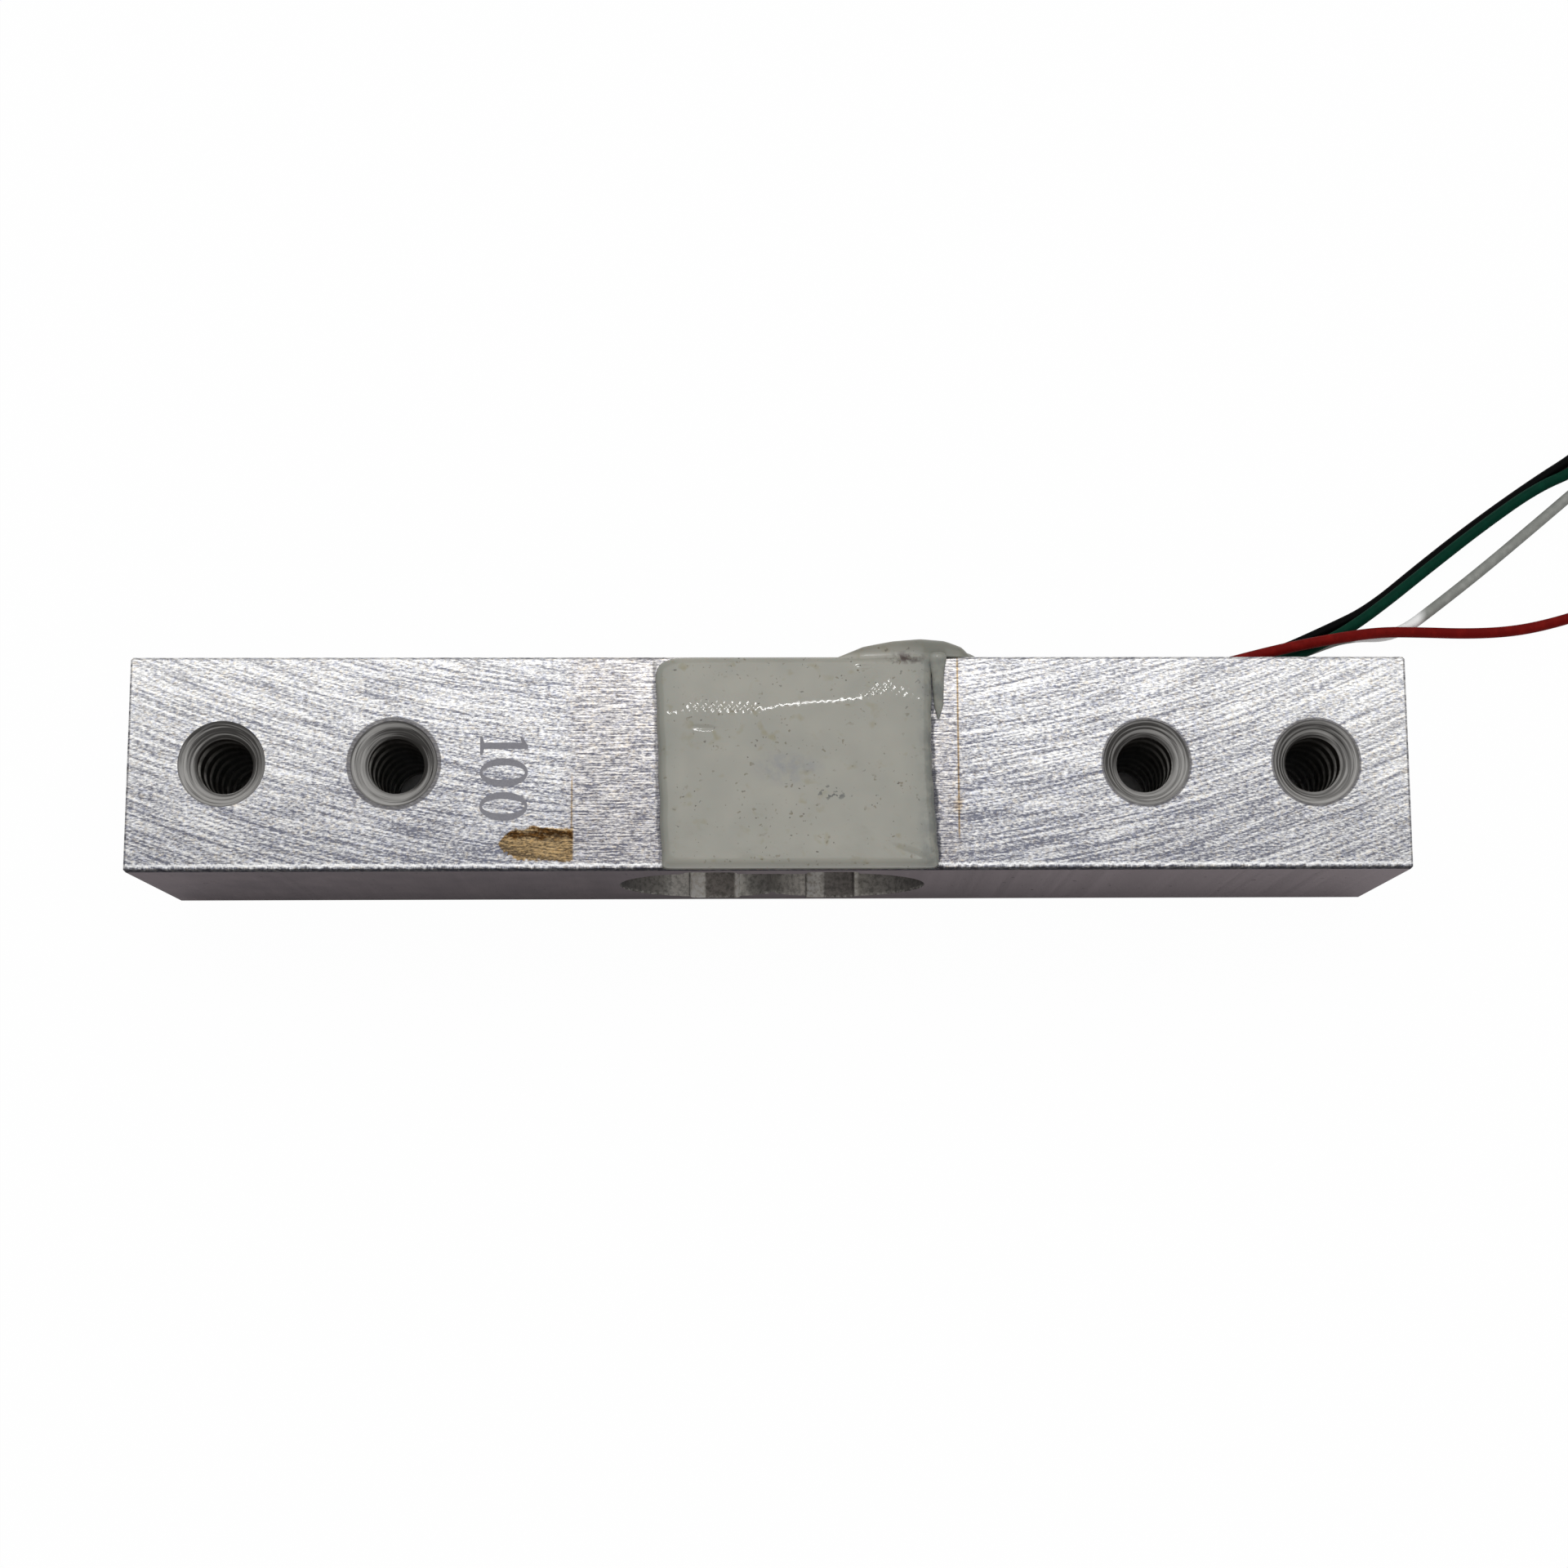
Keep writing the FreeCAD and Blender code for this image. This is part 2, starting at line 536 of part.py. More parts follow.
leads = []
for colour, (degrees, last_run, route) in LEADS.items():
    land, layer = LANDS_FROM_BELOW.index(colour), COILS_FROM_BELOW.index(colour)
    angle = math.radians(degrees)
    layer_z = coil_low + coil_pitch / 2 + layer * coil_pitch
    coil, coil_mouth, forwards, coil_inner = lead_coil(angle, layer_z)
    points = [Vector(lead_start, lead_y, side_land_z[land])]
    points += [Vector(*point) for point in route]
    points += [coil_mouth - forwards * last_run, coil_mouth]
    wire, radii, length = tube(points, lead_diameter)
    leads.append(add_shape(f"{colour}_lead", wire.cut(joints["side"].Shape)))
    add_shape(f"{colour}_lead_coil", coil)
    leave = math.radians(200.0 - 15.0 * layer)
    inwards = leave - math.radians(150.0)
    start = around_coil(leave, coil_inner - value("coil_gap"), layer_z)
    towards = Vector(math.cos(inwards), math.sin(inwards), 0)
    end = Part.makeCylinder(value("core_diameter") / 2, value("stripped_length"), start, towards)
    add_shape(f"{colour}_lead_end", end.cut(coil))
    turns_length = 2 * math.pi * value("coil_turns") * (
        coil_outer - value("coil_turns") * coil_pitch / 2)
    print(f"{colour} lead: free stretch {length:.1f} mm, radii "
          + " ".join(f"{radius:.1f}" for radius in radii)
          + f", coil {turns_length:.1f} mm")

tie_gap, tie_wall = value("tie_clearance"), value("tie_thickness")
tie_width = value("tie_width")
tie_inner = math.sqrt(coil_inner ** 2 - (tie_width / 2) ** 2) - tie_gap
tie_outer = coil_outer + lead_diameter / 2 + tie_gap
tie_top = coil_low + len(LEADS) * coil_pitch + tie_gap
tie_low = coil_low - tie_gap
around = Part.makeBox(tie_width, tie_outer - tie_inner + 2 * tie_wall,
                      tie_top - tie_low + 2 * tie_wall,
                      coil_centre + Vector(-tie_width / 2, -tie_outer - tie_wall,
                                           tie_low - tie_wall))
through = Part.makeBox(tie_width, tie_outer - tie_inner, tie_top - tie_low,
                       coil_centre + Vector(-tie_width / 2, -tie_outer, tie_low))
add_shape("coil_tie", around.cut(through))


# ---------------------------------------------------------------- sealant
# White silicone, spread over the gauges on both faces and over the wires on the side face.
# Each coat is cast around what it covers.
def gauge_coat(side, face, thickness, downwards):
    blank = new_body(f"{side}_coat_blank")
    outline = new_sketch(blank, "outline", "XY_Plane", face)
    add_rectangle(outline, "(coat_right - coat_left) / 2", "0", "(coat_left + coat_right)",
                  "beam_width")
    pad(blank, "coat", outline, thickness, downwards=downwards)

    def upright(edge):
        start, end = edge_ends(edge)
        return abs(start.z - end.z) > value(thickness) / 2

    outer_z = value(face) + (-1 if downwards else 1) * value(thickness)
    round_edges(blank, "corners", "Fillet", "coat_corner", upright)
    round_edges(blank, "rim", "Fillet", "coat_edge",
                lambda edge: all(near(point.z, outer_z) for point in edge_ends(edge)))
    return blank


def cast_around(label, blank, covered):
    """The blank less everything that it covers."""
    tools = doc.addObject("Part::Compound", f"{label}_covered")
    tools.Links = covered
    coat = doc.addObject("Part::Cut", label)
    coat.Label = label
    coat.Base, coat.Tool = blank, tools
    doc.recompute()
    return coat


for (side, face, _), thickness in zip(SIDES, ("top_coat", "bottom_coat")):
    blank = gauge_coat(side, face, thickness, downwards=side == "bottom")
    cast_around(f"{side}_sealant", blank, gauges[side] + [
        boards[side], joints[side], wires[f"{side}_gauge_wires"], wires[f"{side}_bridge_wires"]])

side_blank = new_body("side_coat_blank")
side_outline = new_sketch(side_blank, "outline", "XZ_Plane", "-beam_width / 2")
ridge_low = f"{BEAM_TOP} - side_coat_ridge"
foot_high = f"{BEAM_LOW} + side_coat_ridge"
foot_start = "side_coat_leg - 1.5 * side_coat_ridge"
add_outline(side_outline, [
    ("side_coat_start", ridge_low),
    (foot_start, ridge_low),
    ("side_coat_leg", f"{ridge_low} - side_coat_ridge"),
    ("side_coat_leg", f"{foot_high} + side_coat_ridge"),
    (foot_start, foot_high),
    (foot_start, f"{BEAM_LOW} - side_coat_rise"),
    ("side_coat_end", f"{BEAM_LOW} - side_coat_rise"),
    ("side_coat_end", f"{BEAM_TOP} - side_coat_ridge"),
    ("side_coat_end - side_coat_ridge", f"{BEAM_TOP} + side_coat_rise"),
    ("side_coat_start", f"{BEAM_TOP} + side_coat_rise")])
pad(side_blank, "coat", side_outline, "side_coat", downwards=True)
round_edges(side_blank, "rim", "Fillet", "coat_edge", lambda edge: all(
    near(point.y, value(f"{SIDE_FACE} + side_coat")) for point in edge_ends(edge)))
cast_around("side_sealant", side_blank, [side_board, joints["side"]] + leads
            + [wires[f"{side}_bridge_wires"] for side, _, _ in SIDES])


# ---------------------------------------------------------------- checks and files
NODES = ["beam"]
NODES += [gauge.Label for side, _, _ in SIDES for gauge in gauges[side]]
NODES += [board.Label for board in boards.values()] + [side_board.Label]
NODES += [joint.Label for joint in joints.values()] + [wire.Label for wire in wires.values()]
NODES += ["top_sealant", "bottom_sealant", "side_sealant"]
NODES += [f"{colour}_lead{part}" for colour in LEADS for part in ("", "_coil", "_end")]
NODES += ["coil_tie"]

doc.recompute()
for thing in doc.Objects:
    if {"Invalid", "Error"} & set(thing.State):
        raise RuntimeError(f"{thing.Label} failed: {thing.State}")
os.makedirs("parts", exist_ok=True)
for label in NODES:
    node = next(thing for thing in doc.Objects if thing.Label == label)
    shape = node.Shape
    if shape.isNull() or not shape.isValid() or not shape.Solids:
        raise RuntimeError(f"{label} has no valid solid")
    shape.exportStep(f"parts/{label}.step")
    print(f"{label}: {len(shape.Solids)} solids, {shape.Volume:.2f} mm3")
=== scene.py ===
import math

import bpy
import bmesh
import numpy as np
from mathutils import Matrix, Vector


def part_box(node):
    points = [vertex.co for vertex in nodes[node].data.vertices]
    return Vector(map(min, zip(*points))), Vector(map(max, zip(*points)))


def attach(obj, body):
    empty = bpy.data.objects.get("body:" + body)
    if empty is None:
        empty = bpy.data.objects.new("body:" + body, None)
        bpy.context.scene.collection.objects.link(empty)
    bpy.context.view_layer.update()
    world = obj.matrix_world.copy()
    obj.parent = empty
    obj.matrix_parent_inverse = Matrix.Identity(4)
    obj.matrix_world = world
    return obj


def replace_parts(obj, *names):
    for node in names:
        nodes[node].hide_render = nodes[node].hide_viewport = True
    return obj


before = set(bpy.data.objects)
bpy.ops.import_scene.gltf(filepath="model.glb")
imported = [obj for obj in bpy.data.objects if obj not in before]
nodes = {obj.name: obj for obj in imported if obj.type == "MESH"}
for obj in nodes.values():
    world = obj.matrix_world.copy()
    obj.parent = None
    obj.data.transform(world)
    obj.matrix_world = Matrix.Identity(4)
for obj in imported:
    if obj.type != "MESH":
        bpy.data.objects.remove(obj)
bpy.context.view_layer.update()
MM = 0.001


# ---------------------------------------------------------------- camera
# Close above the cell and a little in front of it, so the top face fills the width and
# the side face shows below it. The shift keeps the leads in the upper right.
camera_data = bpy.data.cameras.new("camera")
camera_data.sensor_width = 36.0
camera_data.lens = 52.554
camera_data.shift_x = -0.0286
camera_data.shift_y = 0.0628
camera_data.clip_start = 0.005
camera = bpy.data.objects.new("camera", camera_data)
camera.location = (0.000712, -0.025581, 0.144978)
camera.rotation_euler = [math.radians(angle) for angle in (8.01, -1.09, -0.32)]
bpy.context.scene.collection.objects.link(camera)
bpy.context.scene.camera = camera
bpy.context.scene.view_settings.view_transform = "Standard"


# ---------------------------------------------------------------- leads
# Four single stranded wires in soft PVC, 0.7 mm over the insulation. They come out of the
# sealant on the side face, drop behind the beam, cross and run off past the fixed end,
# where each one's rest is wound into a flat coil that lies on the one below.
def linear(colour):
    """An sRGB hex value as linear numbers: v / 12.92 up to 0.04045, and above that
    ((v + 0.055) / 1.055) ** 2.4."""
    values = np.array([int(colour[i:i + 2], 16) for i in (1, 3, 5)]) / 255.0
    values = np.where(values <= 0.04045, values / 12.92, ((values + 0.055) / 1.055) ** 2.4)
    return (*values.tolist(), 1.0)


def add(material, kind, *values, **settings):
    """Adds one node by its kind, with its operation after a dot if it has one, gives it its
    settings, and sets or links its open inputs in their order, where None leaves one as it
    is. Gives back the node's first open output."""
    kind, _, operation = kind.partition(".")
    node = material.node_tree.nodes.new("ShaderNode" + kind)
    if operation:
        node.operation = operation
    for name, setting in settings.items():
        setattr(node, name, setting)
    for socket, value in zip([socket for socket in node.inputs if socket.enabled], values):
        if isinstance(value, bpy.types.NodeSocket):
            material.node_tree.links.new(value, socket)
        elif value is not None:
            socket.default_value = value
    return next((socket for socket in node.outputs if socket.enabled), None)


def new_finish(name):
    """An empty material with its surface shader, its output and its place in millimetres, so
    that a noise's scale is how many of its cells lie in a millimetre."""
    material = bpy.data.materials.new(name)
    material.use_nodes = True
    material.node_tree.nodes.clear()
    surface = add(material, "BsdfPrincipled")
    add(material, "OutputMaterial", surface)
    place = add(material, "TexCoord").node.outputs["Object"]
    return material, surface.node, add(material, "VectorMath.SCALE", place, 1 / MM)


def lead_finish(name, colour, scuff, painted_highlights):
    """Extruded soft PVC, a little oily: even colour with light scuffs. On the white lead there are
    painted highlight stretches, each from one place along the bar to another, drawn near white
    over a grey body that is its painted shade."""
    material, shader, place = new_finish(name)
    cloud = add(material, "TexNoise", place, 1.6, 4.0, 0.55)
    body = add(material, "Mix", add(material, "MapRange", cloud, 0.45, 0.75), linear(colour),
               linear(scuff), data_type="RGBA")
    along = add(material, "SeparateXYZ", place)
    # Painted highlight: near-white stretches where the white lead looks lit.
    for start, end in painted_highlights:
        highlight_mask = add(material, "Math.MULTIPLY",
                    add(material, "MapRange", along, start, start + 0.4),
                    add(material, "MapRange", along, end, end - 0.6))
        body = add(material, "Mix", highlight_mask, body, linear("#fbfbfa"), data_type="RGBA")
    material.node_tree.links.new(body, shader.inputs["Base Color"])
    material.node_tree.links.new(add(material, "MapRange", cloud, 0.3, 0.7, 0.50, 0.64),
                                 shader.inputs["Roughness"])
    shader.inputs["Specular IOR Level"].default_value = 0.05
    material.node_tree.links.new(
        add(material, "Bump", 1.0, 0.000006, None,
            add(material, "TexNoise", place, 9.0, 2.0, 0.55)),
        shader.inputs["Normal"])
    return material


LEAD_DIAMETER = 0.7
COIL_CENTRE = np.array([65.0, 23.2])
COIL_OUTER, COIL_INNER, COIL_PITCH, COIL_LOW = 6.4, 3.44, 0.74, 0.4
POINTS_A_TURN = 16
COILS_FROM_BELOW = ("red", "white", "green", "black")
LEADS = {
    # height of its land, degrees at which it enters its coil, turn past three, last run, route
    "red": (8.3, 170.0, 330.0, 3.2, [
        (15.2, 7.0, 8.1), (20.0, 7.2, 5.6), (26.0, 7.6, 3.15), (31.14, 9.18, 2.15),
        (33.84, 9.84, 1.95), (36.51, 10.35, 1.9), (39.27, 10.83, 1.5), (42.12, 10.98, 0.8),
        (45.44, 10.98, 0.4), (48.47, 11.16, 0.35), (51.39, 11.81, 0.35), (55.0, 13.0, 0.4)]),
    "green": (6.7, 126.0, 316.0, 2.8, [
        (15.2, 7.0, 6.6), (19.6, 7.15, 4.3), (24.2, 7.5, 1.9), (28.8, 8.05, 1.22),
        (32.94, 9.03, 1.1), (34.87, 9.81, 1.1), (37.26, 11.06, 1.08), (39.69, 12.81, 0.98),
        (42.91, 15.38, 0.95), (46.48, 18.14, 0.98), (50.12, 20.69, 0.98),
        (53.08, 21.95, 0.85)]),
    "black": (5.1, 118.0, 323.0, 2.8, [
        (15.2, 7.0, 5.0), (19.4, 7.5, 2.5), (23.8, 8.0, 0.65), (29.37, 8.74, 0.35),
        (32.92, 9.81, 0.35), (36.17, 11.28, 0.35), (38.89, 12.59, 0.35), (42.44, 15.49, 0.35),
        (46.11, 18.33, 0.35), (50.26, 21.25, 0.35), (53.2, 23.05, 0.7)]),
    "white": (3.5, 136.0, 311.0, 2.8, [
        (15.2, 7.0, 3.4), (19.2, 6.95, 1.5), (23.4, 7.2, 0.4), (29.34, 7.93, 0.35),
        (32.79, 9.09, 0.35), (35.16, 10.02, 0.35), (37.43, 10.83, 0.35), (40.53, 10.77, 0.35),
        (43.45, 12.94, 0.35), (46.63, 15.43, 0.35), (50.1, 18.31, 0.35), (53.39, 21.07, 0.6)]),
}
LEAD_COLOURS = {
    "red": ("#6a0e0b", "#7d1712", ()),
    "green": ("#023023", "#063a2a", ()),
    "black": ("#010101", "#050506", ()),
    # The white lead is drawn grey as painted shade, with painted highlight stretches where it
    # looks lit.
    "white": ("#8e908b", "#a3a49f", ((37.6, 42.6), (52.4, 80.0))),
}


def lead_line(colour):
    """The lead's control points: its route, the straight into its coil, and turns whose radius
    falls evenly with the angle while they run clockwise, then a nip inwards to the bare end."""
    land, degrees, past, last_run, route = LEADS[colour]
    layer = COILS_FROM_BELOW.index(colour)
    z = COIL_LOW + COIL_PITCH / 2 + layer * COIL_PITCH
    enter = math.radians(degrees)
    touch = COIL_CENTRE + COIL_OUTER * np.array([math.cos(enter), math.sin(enter)])
    forwards = np.array([math.sin(enter), -math.cos(enter)])
    straight_in = 3.5
    mouth = touch - forwards * straight_in
    straight = [(*(mouth - forwards * last_run), z), (*mouth, z)]
    turned = math.radians(3 * 360.0 + past)
    count = int(turned / (2 * math.pi) * POINTS_A_TURN)
    swept = np.linspace(0.12, turned - 0.3, count)
    radius = (COIL_OUTER + (COIL_INNER - COIL_OUTER) * swept / turned) / math.cos(
        math.pi / POINTS_A_TURN)
    turns = np.column_stack([COIL_CENTRE[0] + radius * np.cos(enter - swept),
                             COIL_CENTRE[1] + radius * np.sin(enter - swept),
                             np.full(count, z)])
    leave = enter - turned
    nip = [(COIL_CENTRE[0] + r * math.cos(leave + a), COIL_CENTRE[1] + r * math.sin(leave + a), z)
           for r, a in ((3.36, 0.12), (3.05, 0.0))]
    start = [(11.825, 6.985, land)]
    return np.vstack([start, route, straight, turns, nip]) * MM


for colour in LEADS:
    curve = bpy.data.curves.new(f"{colour}_lead", "CURVE")
    curve.dimensions = "3D"
    curve.bevel_depth = LEAD_DIAMETER / 2 * MM
    curve.bevel_resolution = 5
    curve.use_fill_caps = True
    curve.resolution_u = 8
    points = lead_line(colour)
    spline = curve.splines.new("NURBS")
    spline.points.add(len(points) - 1)
    spline.points.foreach_set("co", np.column_stack([points, np.ones(len(points))]).ravel())
    spline.order_u = 3
    spline.use_endpoint_u = True
    lead = bpy.data.objects.new(f"{colour}_pvc_lead", curve)
    bpy.context.scene.collection.objects.link(lead)
    curve.materials.append(lead_finish(f"{colour} soft PVC", *LEAD_COLOURS[colour]))
    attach(lead, "root")
    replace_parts(lead, f"{colour}_lead", f"{colour}_lead_coil")


# ---------------------------------------------------------------- stripped ends and coil tie
# Each lead's last 3.6 mm is bare: fine copper strands, tinned together. A thin natural nylon
# strap holds the four coils.
def grained_finish(name, cells, detail, dark, light, roughness, metallic, relief):
    """A finish whose grain, so many cells to a millimetre, mixes its two tones and raises its
    surface by the relief, in metres."""
    material, shader, place = new_finish(name)
    grain = add(material, "TexNoise", place, cells, detail, 0.55)
    material.node_tree.links.new(
        add(material, "Mix", grain, linear(dark), linear(light), data_type="RGBA"),
        shader.inputs["Base Color"])
    shader.inputs["Roughness"].default_value = roughness
    shader.inputs["Metallic"].default_value = metallic
    material.node_tree.links.new(add(material, "Bump", 1.0, relief, None, grain),
                                 shader.inputs["Normal"])
    return material


# Tin takes on the strands' own ridges, about 0.07 mm wide: bright, broken silver lines.
tinned = grained_finish("tinned copper strands", 14.0, 3.0, "#9fa0a2", "#d5d6d8", 0.3, 1.0,
                        0.00001)

# Moulded nylon lets a little light in: milky, with clouds of about a third of a millimetre.
nylon, shader, place = new_finish("natural nylon strap")
cloud = add(nylon, "TexNoise", place, 3.0, 3.0, 0.55)
nylon.node_tree.links.new(
    add(nylon, "Mix", cloud, linear("#d8d5c8"), linear("#ece9df"), data_type="RGBA"),
    shader.inputs["Base Color"])
shader.inputs["Roughness"].default_value = 0.42
shader.inputs["IOR"].default_value = 1.53
shader.inputs["Subsurface Weight"].default_value = 0.15
shader.inputs["Subsurface Scale"].default_value = 0.0005
nylon.node_tree.links.new(
    add(nylon, "Bump", 1.0, 0.00001, None, add(nylon, "TexNoise", place, 8.0, 3.0, 0.55)),
    shader.inputs["Normal"])


def dress(node, finish):
    """The finish on a CAD node's own material slots."""
    for slot in nodes[node].material_slots:
        slot.material = finish


for colour in LEADS:
    dress(f"{colour}_lead_end", tinned)
dress("coil_tie", nylon)


# ---------------------------------------------------------------- beam
# One bar of aluminium alloy, milled on its top with a wide cutter whose arcs cross the face,
# hand sanded where the gauges are glued, and left mill finished on its sides. Its four
# tapped holes are M4 x 0.7, cut by a tap and countersunk.
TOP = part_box("beam")[1].z / MM
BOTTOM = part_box("beam")[0].z / MM
HALF_LENGTH, HALF_WIDTH = 37.5, 6.35
INNER_HOLE, OUTER_HOLE = 22.0, 32.0
HOLES = (-OUTER_HOLE, -INNER_HOLE, INNER_HOLE, OUTER_HOLE)
THREAD_PITCH, THREAD_CORE, THREAD_ROOT = 0.7, 1.65, 1.98
COUNTERSINK_DEPTH, COUNTERSINK_EDGE = 0.95, 2.5


def closed_mesh(name, points, faces):
    """A closed mesh from points in millimetres, its faces turned outwards."""
    mesh = bpy.data.meshes.new(name)
    mesh.from_pydata((np.asarray(points).reshape(-1, 3) * MM).tolist(), [], faces)
    form = bmesh.new()
    form.from_mesh(mesh)
    bmesh.ops.remove_doubles(form, verts=form.verts, dist=1e-8)
    bmesh.ops.recalc_face_normals(form, faces=form.faces)
    form.to_mesh(mesh)
    form.free()
    return mesh


def prism(name, low, high):
    """A prism: two like rings of points, joined by its sides and closed at both ends."""
    ring = np.arange(len(low))
    after = np.roll(ring, -1)
    sides = np.stack([ring, after, after + len(low), ring + len(low)], axis=-1)
    ends = [ring[::-1].tolist(), (ring + len(low)).tolist()]
    return closed_mesh(name, np.vstack([low, high]), sides.tolist() + ends)


def thread_cutter(x):
    """A screw as a closed tube: a triangular section, wide at the core and narrow at the root,
    carried round the hole's axis, raised one pitch in each turn, and run in to full depth
    below the countersinks."""
    past_face, steps_a_turn, run_in = 0.8, 28, 0.6
    inner, half_base, half_root = THREAD_CORE - 0.12, 0.34, 0.05
    turns = (TOP - BOTTOM) / THREAD_PITCH + 2 * past_face
    steps = int(turns * steps_a_turn)
    angle = np.linspace(0.0, 2 * math.pi * turns, steps)
    rise = BOTTOM + THREAD_PITCH * (angle / (2 * math.pi) - past_face)
    section = np.array([[inner, -half_base], [THREAD_ROOT, -half_root],
                        [THREAD_ROOT, half_root], [inner, half_base]])
    sunk = np.minimum(TOP - rise, rise - BOTTOM)
    depth = np.clip((sunk - COUNTERSINK_DEPTH) / run_in, 0.0, 1.0)[:, None]
    radius = inner + (section[:, 0] - inner) * depth
    z = rise[:, None] + section[:, 1]
    grid = np.stack([x + radius * np.cos(angle)[:, None],
                     radius * np.sin(angle)[:, None], z], axis=-1)
    index = np.arange(steps * 4).reshape(steps, 4)
    nearby = np.roll(index, -1, 1)
    walls = np.stack([index[:-1], nearby[:-1], nearby[1:], index[1:]], axis=-1).reshape(-1, 4)
    return closed_mesh("thread", grid, walls.tolist() + [index[0][::-1].tolist(),
                                                         index[-1].tolist()])


# Between the two bores the cutters left a level roof, and a floor with a low crest on which
# a thin burr stands.
NECK_HALF, NECK_ROOF, NECK_FLOOR = 2.1, 11.9, 2.4
CREST_HALF, CREST_TOP, BURR_HALF, BURR_TOP = 1.6, 3.3, 0.28, 4.4


def neck_cutter():
    """A prism along Y: its roof is level and its floor is raised in the middle by
    (1 - (x / half) ** 2) ** 2 of the crest, and by 1 - |x| / half of the burr."""
    x = np.linspace(-NECK_HALF, NECK_HALF, 61)
    crest = np.clip(1 - (x / CREST_HALF) ** 2, 0, 1) ** 2 * (CREST_TOP - NECK_FLOOR)
    burr = np.clip(1 - np.abs(x) / BURR_HALF, 0, 1) * (BURR_TOP - CREST_TOP)
    across = np.append(x, [NECK_HALF, -NECK_HALF])
    rise = np.append(NECK_FLOOR + crest + burr, [NECK_ROOF, NECK_ROOF])
    front, back = (np.column_stack([across, np.full(len(across), y), rise])
                   for y in (-HALF_WIDTH - 0.65, HALF_WIDTH + 0.65))
    return prism("neck", front, back)


bar_mesh = nodes["beam"].data.copy()
bar_form = bmesh.new()
bar_form.from_mesh(bar_mesh)
bmesh.ops.remove_doubles(bar_form, verts=bar_form.verts, dist=1e-6)
bar_form.to_mesh(bar_mesh)
bar_form.free()
bar_mesh.name = "tapped_bar"
bar = bpy.data.objects.new("tapped_bar", bar_mesh)
bpy.context.scene.collection.objects.link(bar)
cutters = []
for form in [neck_cutter()] + [thread_cutter(x) for x in HOLES]:
    cutter = bpy.data.objects.new(form.name, form)
    bpy.context.scene.collection.objects.link(cutter)
    cut = bar.modifiers.new(form.name, "BOOLEAN")
    cut.operation, cut.solver, cut.object = "DIFFERENCE", "EXACT", cutter
    cutters.append(cutter)
cut_mesh = bpy.data.meshes.new_from_object(
    bar.evaluated_get(bpy.context.evaluated_depsgraph_get()))
bar.modifiers.clear()
bar.data = cut_mesh
for cutter in cutters:
    bpy.data.objects.remove(cutter)

aluminium, shader, place = new_finish("milled aluminium")
links = aluminium.node_tree.links
x, y, z = add(aluminium, "SeparateXYZ", place).node.outputs
facing = add(aluminium, "TexCoord").node.outputs["Normal"]
facing_up = add(aluminium, "SeparateXYZ", facing).node.outputs["Z"]


def grain_of(x_scale, y_scale, detail, roughness, u=x, v=y):
    """Marks drawn out along the first direction: so many cells to a millimetre each way."""
    where = add(aluminium, "CombineXYZ", add(aluminium, "Math.MULTIPLY", u, x_scale),
                add(aluminium, "Math.MULTIPLY", v, y_scale), 0.0)
    return add(aluminium, "TexNoise", where, 1.0, detail, roughness)


def band(value, low, high, soft):
    """One between low and high, nothing outside, with edges of that softness."""
    return add(aluminium, "Math.MULTIPLY",
               add(aluminium, "MapRange", value, low - soft, low + soft),
               add(aluminium, "MapRange", value, high + soft, high - soft))


# The wide cutter's arcs, 88 mm in radius about a point behind the bar, over a fine burnish.
CUTTER_RADIUS, CUTTER_X = 88.0, -2.0
across = add(aluminium, "Math.SUBTRACT", x, CUTTER_X)
away = add(aluminium, "Math.SUBTRACT", CUTTER_RADIUS, y)
radius = add(
    aluminium, "Math.SQRT",
    add(aluminium, "Math.ADD", add(aluminium, "Math.MULTIPLY", across, across),
        add(aluminium, "Math.MULTIPLY", away, away)))
sweep = add(aluminium, "Math.MULTIPLY", add(aluminium, "Math.ARCTAN2", across, away),
            CUTTER_RADIUS)
arcs = grain_of(0.26, 6.2, 2.0, 0.6, sweep, radius)
clusters = grain_of(0.12, 1.9, 2.0, 0.5, sweep, radius)
burnish = grain_of(3.4, 10.0, 2.0, 0.7)
hand_lines = grain_of(0.6, 10.5, 2.0, 0.7)
milled = add(
    aluminium, "Math.ADD",
    add(aluminium, "Math.ADD", add(aluminium, "Math.MULTIPLY", arcs, 0.36),
        add(aluminium, "Math.MULTIPLY", clusters, 0.14)),
    add(aluminium, "Math.MULTIPLY", burnish, 0.50))
sanded_tone = add(aluminium, "Math.ADD", add(aluminium, "Math.MULTIPLY", hand_lines, 0.52),
                  add(aluminium, "Math.MULTIPLY", burnish, 0.48))
sanded = band(x, -11.8, 11.1, 0.6)
lines = add(aluminium, "Mix", sanded, milled, sanded_tone, data_type="FLOAT")
tone = add(aluminium, "MapRange", lines, 0.415, 0.585)
# Painted light: the top is drawn darker at its front edge and lighter towards the back, as the
# lamps light it.
tone = add(aluminium, "Math.ADD", add(aluminium, "Math.MULTIPLY", tone, 0.86),
           add(aluminium, "MapRange", y, -6.3, 6.3, -0.13, 0.18))
tone = add(
    aluminium, "Math.ADD", tone,
    add(aluminium, "Math.ADD", add(aluminium, "MapRange", x, 33.0, HALF_LENGTH, 0.0, 0.07),
        add(aluminium, "MapRange", add(aluminium, "Math.ABSOLUTE", x), 22.0, 33.0, -0.07, 0.02)))
top_colour = add(aluminium, "Mix", tone, linear("#6b6c76"), linear("#efeeeb"), data_type="RGBA")
cool = add(aluminium, "MapRange", add(aluminium, "TexNoise", place, 6.0, 2.0, 0.55), 0.50, 0.66)
warm = add(aluminium, "MapRange", add(aluminium, "TexNoise", place, 5.1, 2.0, 0.55), 0.54, 0.68)
